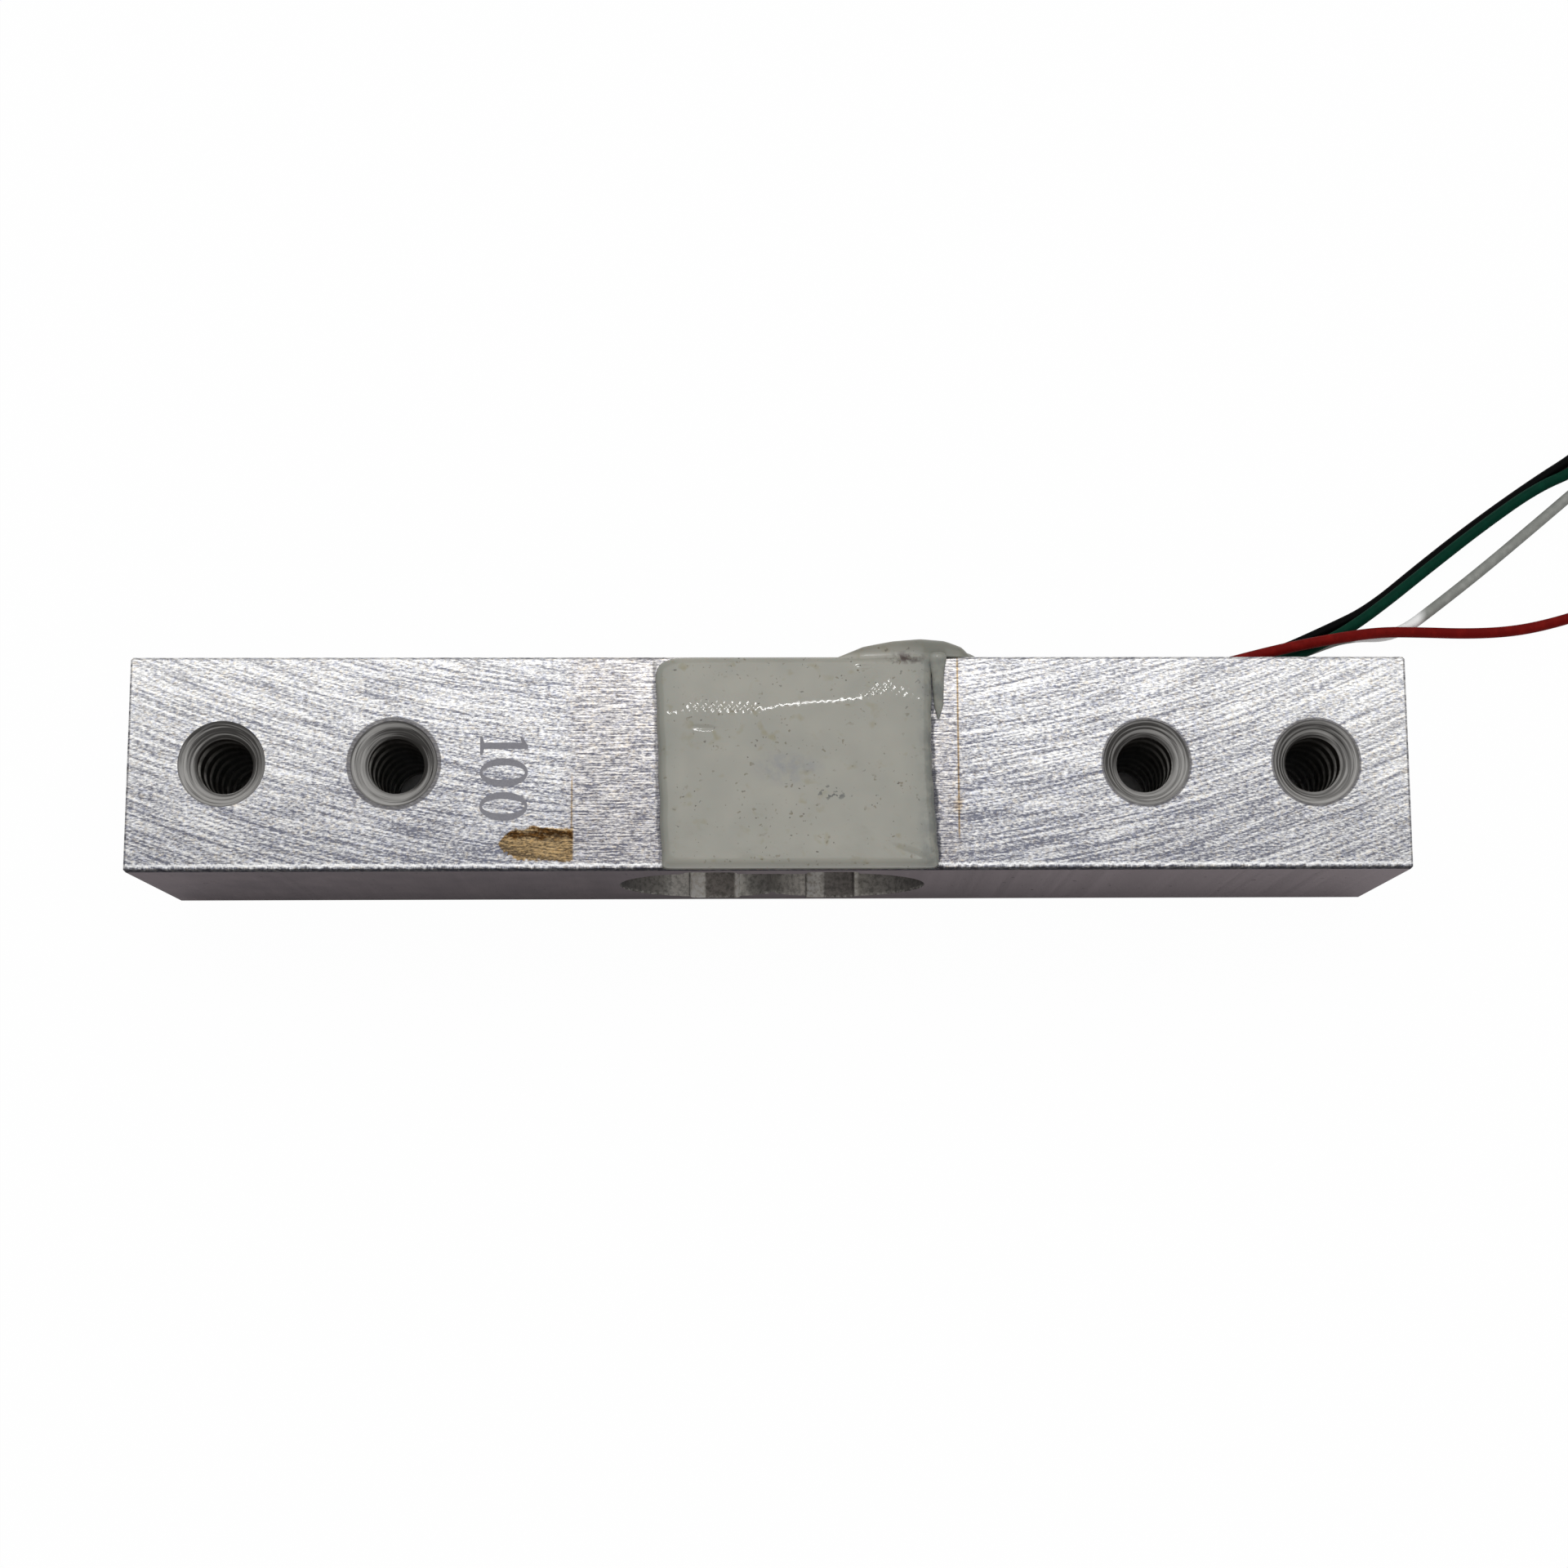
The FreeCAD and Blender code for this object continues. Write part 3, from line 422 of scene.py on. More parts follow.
top_colour = add(aluminium, "Mix", add(aluminium, "Math.MULTIPLY", cool, 0.5), top_colour,
                 linear("#cfd6f0"), data_type="RGBA", blend_type="MULTIPLY")
top_colour = add(aluminium, "Mix", add(aluminium, "Math.MULTIPLY", warm, 0.45), top_colour,
                 linear("#f3e2c6"), data_type="RGBA", blend_type="MULTIPLY")
top_colour = add(aluminium, "Mix", add(aluminium, "Math.MULTIPLY", sanded, 0.55), top_colour,
                 linear("#ebe5e1"), data_type="RGBA", blend_type="MULTIPLY")

# Varnish left from bonding the gauges: a tongue beside the mark, and a scribed line each side.
wander = add(aluminium, "MapRange", add(aluminium, "TexNoise", place, 2.2, 4.0, 0.55), 0.3, 0.7,
             -0.16, 0.16)
x_ragged = add(aluminium, "Math.ADD", x, wander)
y_ragged = add(aluminium, "Math.ADD", y, wander)
tongue = add(aluminium, "Math.DIVIDE", add(aluminium, "Math.SUBTRACT", -13.6, x_ragged), 2.3)
tongue = add(aluminium, "Math.SUBTRACT", 1.0,
             add(aluminium, "Math.POWER", add(aluminium, "Math.MAXIMUM", tongue, 0.0), 4.0))
reach = add(aluminium, "Math.ABSOLUTE", add(aluminium, "Math.ADD", y_ragged, 4.78))
patch = add(
    aluminium, "Math.MULTIPLY",
    add(aluminium, "MapRange",
        add(aluminium, "Math.SUBTRACT", add(aluminium, "Math.MULTIPLY", tongue, 1.02), reach), 0.0,
        0.10),
    add(aluminium, "MapRange", x, -11.48, -11.58))
rind = add(aluminium, "Math.MULTIPLY", patch,
           band(add(aluminium, "Math.ADD", y_ragged, wander), -4.35, -3.95, 0.12))
scribed_left = add(aluminium, "Math.MULTIPLY", band(x, -11.68, -11.58, 0.03),
                   band(y, -5.8, -0.8, 0.3))
scribed_right = add(aluminium, "Math.MULTIPLY", band(x, 10.90, 11.0, 0.03),
                    band(y, -4.4, 6.3, 0.3))
drops = add(aluminium, "Math.MULTIPLY", band(x_ragged, 10.75, 11.15, 0.1),
            band(y, -2.9, -2.1, 0.2))
varnish = add(
    aluminium, "Math.MAXIMUM", patch,
    add(
        aluminium, "Math.MAXIMUM", add(aluminium, "Math.MULTIPLY", scribed_left, 0.8),
        add(aluminium, "Math.MAXIMUM", add(aluminium, "Math.MULTIPLY", scribed_right, 0.9),
            add(aluminium, "Math.MULTIPLY", drops, 0.6))))
top_colour = add(aluminium, "Mix", varnish, top_colour, linear("#d0b282"), data_type="RGBA",
                 blend_type="MULTIPLY")
top_colour = add(aluminium, "Mix", add(aluminium, "Math.MULTIPLY", rind, 0.9), top_colour,
                 linear("#8a6a3a"), data_type="RGBA", blend_type="MULTIPLY")

# Painted contact shade: a dark line in the corner along both ends of the sealant, and a dark patch
# under and round the drip, where they meet the metal.
along = add(aluminium, "MapRange", y, -6.3, 6.25)
bowed = add(aluminium, "Math.MULTIPLY",
            add(aluminium, "Math.MULTIPLY", along, add(aluminium, "Math.SUBTRACT", 1.0, along)),
            0.68)
off_left = add(aluminium, "Math.ADD", add(aluminium, "Math.ADD", x, 6.46),
               add(aluminium, "Math.MULTIPLY", along, 0.44))
off_right = add(aluminium, "Math.ADD", add(aluminium, "Math.SUBTRACT", x, 9.82),
                add(aluminium, "Math.ADD", add(aluminium, "Math.MULTIPLY", along, 0.34), bowed))
left_contact_shade = add(
    aluminium, "MapRange",
    add(aluminium, "Math.ADD", add(aluminium, "Math.ABSOLUTE", off_left),
        add(aluminium, "Math.MULTIPLY", wander, 0.5)),
    0.15, 0.06, 0.0, 0.55)
right_contact_shade = add(
    aluminium, "MapRange",
    add(aluminium, "Math.ADD", add(aluminium, "Math.ABSOLUTE", off_right),
        add(aluminium, "Math.MULTIPLY", wander, 0.7)),
    0.19, 0.08, 0.0, 0.85)
off_drip = add(aluminium, "Math.SUBTRACT",
               add(aluminium, "Math.ABSOLUTE", add(aluminium, "Math.SUBTRACT", x, 9.8)),
               add(aluminium, "MapRange", y, 2.5, 5.2, 0.02, 0.30))
drip_contact_shade = add(aluminium, "Math.MULTIPLY",
                 add(aluminium, "MapRange", off_drip, 0.14, 0.05, 0.0, 0.6),
                 band(y, 2.5, 6.4, 0.1))
contact_shade = add(
    aluminium, "Math.MAXIMUM",
    add(aluminium, "Math.MULTIPLY", add(aluminium, "Math.MAXIMUM", left_contact_shade, right_contact_shade),
        add(aluminium, "MapRange", y, 6.2, 6.0)),
    drip_contact_shade)
# The painted contact shade goes on to the top face here.
top_colour = add(aluminium, "Mix", contact_shade, top_colour, linear("#33343a"), data_type="RGBA")

# The front edge: a bright line just inside it and a dark ragged line at the very edge.
edge_wander = add(aluminium, "MapRange", grain_of(2.5, 0.0, 4.0, 0.7), 0.3, 0.7, -0.12, 0.12)
from_front = add(aluminium, "Math.ADD", add(aluminium, "Math.ADD", y, HALF_WIDTH), edge_wander)
bright_edge_line = band(from_front, 0.28, 0.42, 0.06)
dark_edge_line = add(aluminium, "MapRange", from_front, 0.26, 0.12)
top_colour = add(aluminium, "Mix", add(aluminium, "Math.MULTIPLY", bright_edge_line, 0.6), top_colour,
                 linear("#fbfbfa"), data_type="RGBA")
top_colour = add(aluminium, "Mix", add(aluminium, "Math.MULTIPLY", dark_edge_line, 0.85), top_colour,
                 linear("#2c2a2e"), data_type="RGBA")

# Three of the countersinks were deburred by hand, which left a turned ring round each.
for hole, deburred in ((-INNER_HOLE, 2.76), (INNER_HOLE, 2.66), (OUTER_HOLE, 2.66)):
    off_x = add(aluminium, "Math.SUBTRACT", x, hole)
    off_hole = add(
        aluminium, "Math.SQRT",
        add(aluminium, "Math.ADD", add(aluminium, "Math.MULTIPLY", off_x, off_x),
            add(aluminium, "Math.MULTIPLY", y, y)))
    turned = band(off_hole, COUNTERSINK_EDGE, deburred, 0.03)
    top_colour = add(aluminium, "Mix", add(aluminium, "Math.MULTIPLY", turned, 0.85), top_colour,
                     linear("#575556"), data_type="RGBA")
# A dark, broken line along both ends of the top face.
dark_end_lines = add(
    aluminium, "Math.MULTIPLY",
    add(aluminium, "MapRange",
        add(aluminium, "Math.SUBTRACT", HALF_LENGTH, add(aluminium, "Math.ABSOLUTE", x)), 0.2,
        0.05),
    add(aluminium, "MapRange", add(aluminium, "TexNoise", place, 1.5, 3.0, 0.55), 0.52, 0.60, 0.0,
        0.8))
top_colour = add(aluminium, "Mix", dark_end_lines, top_colour, linear("#3a383c"), data_type="RGBA")

# Mill finish on the sides: smooth, purplish grey, faintly blotched, with dark pin holes.
blotches = add(aluminium, "TexNoise", place, 0.35, 5.0, 0.6)
pins = add(aluminium, "MapRange", add(aluminium, "TexNoise", place, 2.6, 1.0, 0.55), 0.75, 0.79)
side_colour = add(aluminium, "Mix", add(aluminium, "MapRange", blotches, 0.3, 0.7),
                  linear("#857e82"), linear("#958c8f"), data_type="RGBA")
side_colour = add(aluminium, "Mix", add(aluminium, "MapRange", x, -12.0, 25.0), side_colour,
                  linear("#a39a9d"), data_type="RGBA")
side_colour = add(aluminium, "Mix", pins, side_colour, linear("#3c393c"), data_type="RGBA")

up = add(aluminium, "Math.MULTIPLY", add(aluminium, "MapRange", facing_up, 0.4, 0.6),
         add(aluminium, "MapRange", z, 12.9, 13.1))
links.new(add(aluminium, "Mix", up, side_colour, top_colour, data_type="RGBA"),
          shader.inputs["Base Color"])
shader.inputs["Metallic"].default_value = 1.0
shader.inputs["Specular Tint"].default_value = (0.45, 0.43, 0.44, 1.0)
links.new(add(aluminium, "MapRange", lines, 0.35, 0.65, 0.46, 0.34), shader.inputs["Roughness"])
links.new(
    add(aluminium, "Bump", 1.0, 0.000012, None, add(aluminium, "Math.MULTIPLY", lines, up)),
    shader.inputs["Normal"])

# Inside the binocular hole the metal is dulled by cutting oil: mostly scattering, so hardly
# metallic. Its bright and dark bands across the hole are painted light and shade: bright where
# faces and edges of the bores and relief slots catch the light, dark lines in their corners, and
# darker towards the tips.
BORES_REACH = 9.3
bored, shader, place = new_finish("bored aluminium")
x, y, z = add(bored, "SeparateXYZ", place).node.outputs
walls = add(bored, "ValToRGB", add(bored, "MapRange", x, -BORES_REACH, BORES_REACH))
# Painted light and shade across the hole, from tip to tip.
wall_light_and_shade = ((-BORES_REACH, "#4c4a4a"), (-8.0, "#6e6b68"), (-6.9, "#85827e"), (-6.3, "#b2afaa"),
              (-5.3, "#b4b0ab"), (-5.22, "#3b3837"), (-5.12, "#dbd7d2"), (-4.3, "#d6d2cc"),
              (-4.2, "#7f7975"), (-2.45, "#76716d"), (-2.3, "#e2ded8"), (-1.97, "#bab7b1"),
              (-1.3, "#86837f"), (-0.3, "#706d6a"), (0.12, "#787571"), (0.8, "#9a9691"),
              (2.0, "#b5b1ab"), (2.1, "#504d4b"), (2.2, "#c9c5c0"), (3.15, "#c2beb9"),
              (3.3, "#787370"), (5.02, "#736e6b"), (5.1, "#2c2a29"), (5.2, "#d6d2cb"),
              (5.45, "#918d87"), (6.45, "#827e7a"), (BORES_REACH, "#454342"))
ramp = walls.node.color_ramp
while len(ramp.elements) < len(wall_light_and_shade):
    ramp.elements.new(0.5)
for element, (where, colour) in zip(ramp.elements, wall_light_and_shade):
    element.position = (where + BORES_REACH) / (2 * BORES_REACH)
    element.color = linear(colour)
drawn_out = add(bored, "VectorMath.MULTIPLY", place, (5.0, 1.1, 1.1))
tool_lines = add(bored, "TexNoise", drawn_out, 1.0, 3.0, 0.7)
wall_colour_and_shade = add(bored, "Mix", add(bored, "MapRange", tool_lines, 0.3, 0.7, 0.05, 0.35), walls,
                  linear("#b4b1ac"), data_type="RGBA", blend_type="OVERLAY")
speckle = add(bored, "MapRange", add(bored, "TexNoise", place, 3.4, 3.0, 0.7), 0.36, 0.58)
wall_colour_and_shade = add(
    bored, "Mix", 0.34, wall_colour_and_shade,
    add(bored, "Mix", speckle, linear("#2e2c2b"), linear("#ffffff"), data_type="RGBA"),
    data_type="RGBA", blend_type="OVERLAY")
rim = add(
    bored, "Math.MULTIPLY", add(bored, "MapRange", y, -6.15, -6.28),
    add(bored, "MapRange", add(bored, "TexNoise", place, 4.0, 3.0, 0.7), 0.46, 0.62, 0.0, 0.6))
bored.node_tree.links.new(add(bored, "Mix", rim, wall_colour_and_shade, linear("#d9d5cf"), data_type="RGBA"),
                          shader.inputs["Base Color"])
shader.inputs["Metallic"].default_value = 0.15
shader.inputs["Roughness"].default_value = 0.5
bored.node_tree.links.new(add(bored, "Bump", 1.0, 0.00001, None, tool_lines),
                          shader.inputs["Normal"])

# The tapped holes: turned rings on the countersinks, and below them the threads, in painted light
# and shade: lighter on the side of each hole away from the middle of the bar and towards the
# front, with painted glints on the crests that dim the deeper they lie, over roots painted dark.
tapped, shader, place = new_finish("tapped aluminium")
x, y, z = add(tapped, "SeparateXYZ", place).node.outputs
from_middle = add(tapped, "Math.ABSOLUTE", x)
off_inner = add(tapped, "Math.ABSOLUTE", add(tapped, "Math.SUBTRACT", from_middle, INNER_HOLE))
off_outer = add(tapped, "Math.ABSOLUTE", add(tapped, "Math.SUBTRACT", from_middle, OUTER_HOLE))
nearest = add(tapped, "Math.MINIMUM", off_inner, off_outer)
from_axis = add(
    tapped, "Math.SQRT",
    add(tapped, "Math.ADD", add(tapped, "Math.MULTIPLY", nearest, nearest),
        add(tapped, "Math.MULTIPLY", y, y)))
ring_place = add(tapped, "CombineXYZ", add(tapped, "Math.MULTIPLY", from_axis, 6.0),
                 add(tapped, "Math.MULTIPLY", x, 0.16), add(tapped, "Math.MULTIPLY", y, 0.16))
rings = add(tapped, "TexNoise", ring_place, 1.0, 3.0, 0.7)
beyond = add(tapped, "Math.SUBTRACT", from_middle, (INNER_HOLE + OUTER_HOLE) / 2)
outwards = add(
    tapped, "Math.SUBTRACT", beyond,
    add(tapped, "Math.MULTIPLY", add(tapped, "Math.SIGN", beyond), (OUTER_HOLE - INNER_HOLE) / 2))
# Painted light: how much a place faces the light, most away from the middle of the bar and towards
# the front.
facing_light = add(
    tapped, "Math.DIVIDE",
    add(tapped, "Math.SUBTRACT", add(tapped, "Math.MULTIPLY", outwards, 0.65),
        add(tapped, "Math.MULTIPLY", y, 0.75)),
    from_axis)
ring_tone_and_light = add(tapped, "Math.ADD", add(tapped, "MapRange", rings, 0.40, 0.60),
                add(tapped, "MapRange", facing_light, -1.0, 1.0, -0.42, 0.36))
ring_colour_and_light = add(tapped, "Mix", ring_tone_and_light, linear("#464442"), linear("#bebcb9"), data_type="RGBA")
ring_colour_and_light = add(tapped, "Mix", add(tapped, "MapRange", from_axis, 2.43, 2.52, 0.0, 0.7),
                  ring_colour_and_light, linear("#5a5857"), data_type="RGBA")
sunk = add(tapped, "Math.MINIMUM", add(tapped, "Math.SUBTRACT", TOP, z),
           add(tapped, "Math.SUBTRACT", z, BOTTOM))
# The painted glints on the crests follow a screw of twice the thread's pitch, because each crest
# by itself is too fine to show: z / lead less the angle about the hole.
local_x = add(tapped, "Math.MULTIPLY", add(tapped, "Math.SIGN", x), outwards)
turn = add(tapped, "Math.DIVIDE", add(tapped, "Math.ARCTAN2", y, local_x), 2 * math.pi)
phase = add(tapped, "Math.SUBTRACT", add(tapped, "Math.DIVIDE", z, 2 * THREAD_PITCH), turn)
glint = add(tapped, "Math.COSINE", add(tapped, "Math.MULTIPLY", phase, 2 * math.pi))
patchy = add(tapped, "MapRange", add(tapped, "TexNoise", place, 1.1, 3.0, 0.55), 0.35, 0.60, 0.35,
             1.0)
crest = add(tapped, "Math.MULTIPLY", add(tapped, "MapRange", glint, -0.1, 0.6), patchy)
crest = add(tapped, "Math.MULTIPLY", crest,
            add(tapped, "MapRange", facing_light, -0.4, 0.6, 0.15, 1.0))
# Painted highlight and shade: bright glints near the top that dim with depth, over dark roots.
painted_glint_colour = add(tapped, "Mix", add(tapped, "MapRange", sunk, 1.5, 9.0), linear("#fdfaf4"),
                   linear("#5d5348"), data_type="RGBA")
thread_glints_and_shade = add(tapped, "Mix", crest, linear("#1b1612"), painted_glint_colour, data_type="RGBA")
tapped.node_tree.links.new(
    add(tapped, "Mix", add(tapped, "MapRange", sunk, 0.84, 0.98), ring_colour_and_light, thread_glints_and_shade,
        data_type="RGBA"),
    shader.inputs["Base Color"])
shader.inputs["Metallic"].default_value = 0.25
shader.inputs["Roughness"].default_value = 0.4
tapped.node_tree.links.new(add(tapped, "Bump", 1.0, 0.00001, None, rings), shader.inputs["Normal"])

bar_mesh = bar.data
bar_mesh.materials.clear()
for finish in (aluminium, bored, tapped):
    bar_mesh.materials.append(finish)
count = len(bar_mesh.polygons)
centre, normal = np.empty(count * 3), np.empty(count * 3)
bar_mesh.polygons.foreach_get("center", centre)
bar_mesh.polygons.foreach_get("normal", normal)
centre, normal = centre.reshape(-1, 3) / MM, normal.reshape(-1, 3)
inside = (centre[:, 2] > BOTTOM + 0.01) & (centre[:, 2] < TOP - 0.01)
in_bore = inside & (np.abs(normal[:, 1]) < 0.3) & (np.abs(centre[:, 0]) < BORES_REACH + 0.1)
off_axis = np.min([np.hypot(centre[:, 0] - hole, centre[:, 1]) for hole in HOLES], axis=0)
in_hole = inside & (off_axis < 2.6) & (np.abs(centre[:, 1]) < 6.2)
bar_mesh.polygons.foreach_set("material_index", np.where(in_bore, 1, np.where(in_hole, 2, 0)))
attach(bar, "root")
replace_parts(bar, "beam")


# ---------------------------------------------------------------- gauges, boards and joints
# Under the sealant: foil gauges on polyimide film, glass-epoxy terminal boards with copper
# lands, soft solder joints and enamelled copper wires.
# Polyimide film over etched foil: glossy amber, a little uneven where the glue is thicker.
film, shader, place = new_finish("polyimide film with foil")
links = film.node_tree.links
grain = add(film, "TexNoise", place, 3.0, 3.0, 0.55)
links.new(add(film, "Mix", grain, linear("#b5701f"), linear("#cf8a34"), data_type="RGBA"),
          shader.inputs["Base Color"])
shader.inputs["Roughness"].default_value = 0.3
shader.inputs["IOR"].default_value = 1.7
links.new(
    add(film, "Bump", 1.0, 0.000004, None, add(film, "TexNoise", place, 12.0, 3.0, 0.55)),
    shader.inputs["Normal"])

# Pressed glass cloth in epoxy: dull yellow-green, with the weave's 0.2 mm cells showing faintly.
laminate = grained_finish("glass-epoxy laminate", 5.0, 2.0, "#8f8a52", "#a8a268", 0.5, 0.0,
                          0.00001)

# Solder that froze as a drop: bright silver, clouded by grains of a quarter of a millimetre.
solder = grained_finish("soft solder", 4.0, 4.0, "#a9aaad", "#d2d3d6", 0.25, 1.0, 0.00001)

# Drawn copper under a thin clear enamel: reddish brown and glossy.
enamel = grained_finish("enamelled copper", 6.0, 3.0, "#7c3414", "#a24f22", 0.28, 1.0, 0.000004)

for name in nodes:
    if name.endswith("_gauge"):
        dress(name, film)
    elif name.endswith("_board"):
        dress(name, laminate)
    elif name.endswith("_joints"):
        dress(name, solder)
    elif name.endswith("_wires"):
        dress(name, enamel)


# ---------------------------------------------------------------- sealant
# Neutral silicone, spread with a spatula over the gauges and wires and cured where it lay:
# glossy, grey-beige, with grit in it, ripples where the spatula lifted and soft rounded rims.
sealant, shader, place = new_finish("silicone sealant")
links = sealant.node_tree.links
x, y, z = add(sealant, "SeparateXYZ", place).node.outputs


def spot(x_at, y_at, x_reach, y_reach):
    """A soft round stain: one at its middle, nothing past its reach."""
    u = add(sealant, "Math.DIVIDE", add(sealant, "Math.SUBTRACT", x, x_at), x_reach)
    v = add(sealant, "Math.DIVIDE", add(sealant, "Math.SUBTRACT", y, y_at), y_reach)
    away = add(sealant, "Math.ADD", add(sealant, "Math.MULTIPLY", u, u),
               add(sealant, "Math.MULTIPLY", v, v))
    return add(sealant, "MapRange", away, 1.0, 0.0)


cloud = add(sealant, "TexNoise", place, 0.35, 2.0, 0.55)
body = add(sealant, "Mix", add(sealant, "MapRange", cloud, 0.3, 0.7), linear("#99988f"),
           linear("#a3a197"), data_type="RGBA")
rough_cloud = add(sealant, "TexNoise", place, 0.8, 3.0, 0.55)
gritty = add(sealant, "MapRange", rough_cloud, 0.42, 0.62)
for scale, low, high, share, grit in ((1.3, 0.60, 0.74, 0.42, "#857b4c"),
                                      (2.7, 0.685, 0.73, 0.60, "#5f5234"),
                                      (4.0, 0.695, 0.735, 0.75, "#40372f")):
    fleck = add(sealant, "MapRange", add(sealant, "TexNoise", place, scale, 1.0, 0.55), low, high)
    fleck = add(sealant, "Math.MULTIPLY", fleck, gritty)
    body = add(sealant, "Mix", add(sealant, "Math.MULTIPLY", fleck, share), body, linear(grit),
               data_type="RGBA")
smudge = add(sealant, "Math.MULTIPLY", spot(0.9, -0.5, 2.4, 1.2),
             add(sealant, "MapRange", add(sealant, "TexNoise", place, 1.4, 3.0, 0.55), 0.35, 0.65))
body = add(sealant, "Mix", add(sealant, "Math.MULTIPLY", smudge, 0.6), body, linear("#7f8289"),
           data_type="RGBA")
scratch = add(
    sealant, "Math.MULTIPLY", spot(3.6, -1.9, 1.5, 0.6),
    add(sealant, "MapRange", add(sealant, "TexNoise", place, 2.6, 3.0, 0.55), 0.57, 0.61))
body = add(sealant, "Mix", add(sealant, "Math.MULTIPLY", scratch, 0.85), body, linear("#3a3d40"),
           data_type="RGBA")
# Darker bluish grey patches along the right edge of the top coat.
dark_right_patches = add(sealant, "Math.MULTIPLY", add(sealant, "MapRange", x, 8.4, 9.3),
           add(sealant, "MapRange", add(sealant, "TexNoise", place, 1.1, 4.0, 0.55), 0.42, 0.60))
on_top = add(sealant, "MapRange", y, 6.2, 5.9)
body = add(sealant, "Mix",
           add(sealant, "Math.MULTIPLY", add(sealant, "Math.MULTIPLY", dark_right_patches, on_top), 0.70), body,
           linear("#5b5e64"), data_type="RGBA")
# Painted shade: both side edges of the top coat are drawn darker and cooler.
painted_edge_shade = add(sealant, "Math.MAXIMUM", add(sealant, "MapRange", x, -5.2, -6.5),
                add(sealant, "MapRange", x, 7.6, 9.2))
body = add(sealant, "Mix", add(sealant, "Math.MULTIPLY", painted_edge_shade, 0.5), body, linear("#868982"),
           data_type="RGBA")
# Painted shade: a dark reddish patch in the crevice where the top coat meets the back-edge bead.
crevice_shade = add(
    sealant, "Math.MULTIPLY", spot(7.9, 6.15, 1.3, 0.45),
    add(sealant, "MapRange", add(sealant, "TexNoise", place, 2.2, 3.0, 0.55), 0.42, 0.6))
body = add(sealant, "Mix", add(sealant, "Math.MULTIPLY", crevice_shade, 0.85), body, linear("#3d2a2b"),
           data_type="RGBA")
# Painted shade: all the sealant past the back face, the back-edge bead and the side coat, is drawn
# darker than the top coat.
painted_back_shade = add(sealant, "MapRange", y, 6.30, 6.55)
body = add(sealant, "Mix", add(sealant, "Math.MULTIPLY", painted_back_shade, 0.9), body, linear("#dad9d6"),
           data_type="RGBA", blend_type="MULTIPLY")
links.new(body, shader.inputs["Base Color"])
links.new(add(sealant, "MapRange", y, 6.20, 6.40, 0.08, 0.30), shader.inputs["Roughness"])
shader.inputs["IOR"].default_value = 1.41
shader.inputs["Subsurface Weight"].default_value = 0.08
shader.inputs["Subsurface Scale"].default_value = 0.0003
links.new(
    add(
        sealant, "Bump", 1.0, 0.000012, None,
        add(sealant, "Math.ADD", add(sealant, "TexNoise", place, 1.1, 2.0, 0.55),
            add(sealant, "Math.MULTIPLY", add(sealant, "TexNoise", place, 4.5, 2.0, 0.55), 0.16))),
    shader.inputs["Normal"])


def step(value, low, high):
    """A rise from nothing at low to one at high, level at both ends: 3 t t - 2 t t t."""
    t = np.clip((value - low) / (high - low), 0.0, 1.0)
    return t * t * (3 - 2 * t)


def sealant_piece(name, grid, faces):
    """A smooth closed piece of the sealant, riding on the bar."""
    mesh = closed_mesh(name, grid, faces)
    mesh.polygons.foreach_set("use_smooth", [True] * len(mesh.polygons))
    mesh.materials.append(sealant)
    piece = bpy.data.objects.new(name, mesh)
    bpy.context.scene.collection.objects.link(piece)
    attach(piece, "root")
    return piece


def shoulder(t):
    """How far a surface has fallen whose slope grows as 3 t t - 2 t t t and then stays."""
    bent = np.clip(t, 0.0, 1.0)
    return bent ** 3 - bent ** 4 / 2 + np.maximum(t - 1.0, 0.0)


def dimple(x, y, x_at, y_at, along, across, degrees):
    """A small dent: e to the minus r squared, r measured along and across its own line."""
    turn = math.radians(degrees)
    u = (x - x_at) * math.cos(turn) + (y - y_at) * math.sin(turn)
    v = (y - y_at) * math.cos(turn) - (x - x_at) * math.sin(turn)
    return np.exp(-(u / along) ** 2 - (v / across) ** 2)


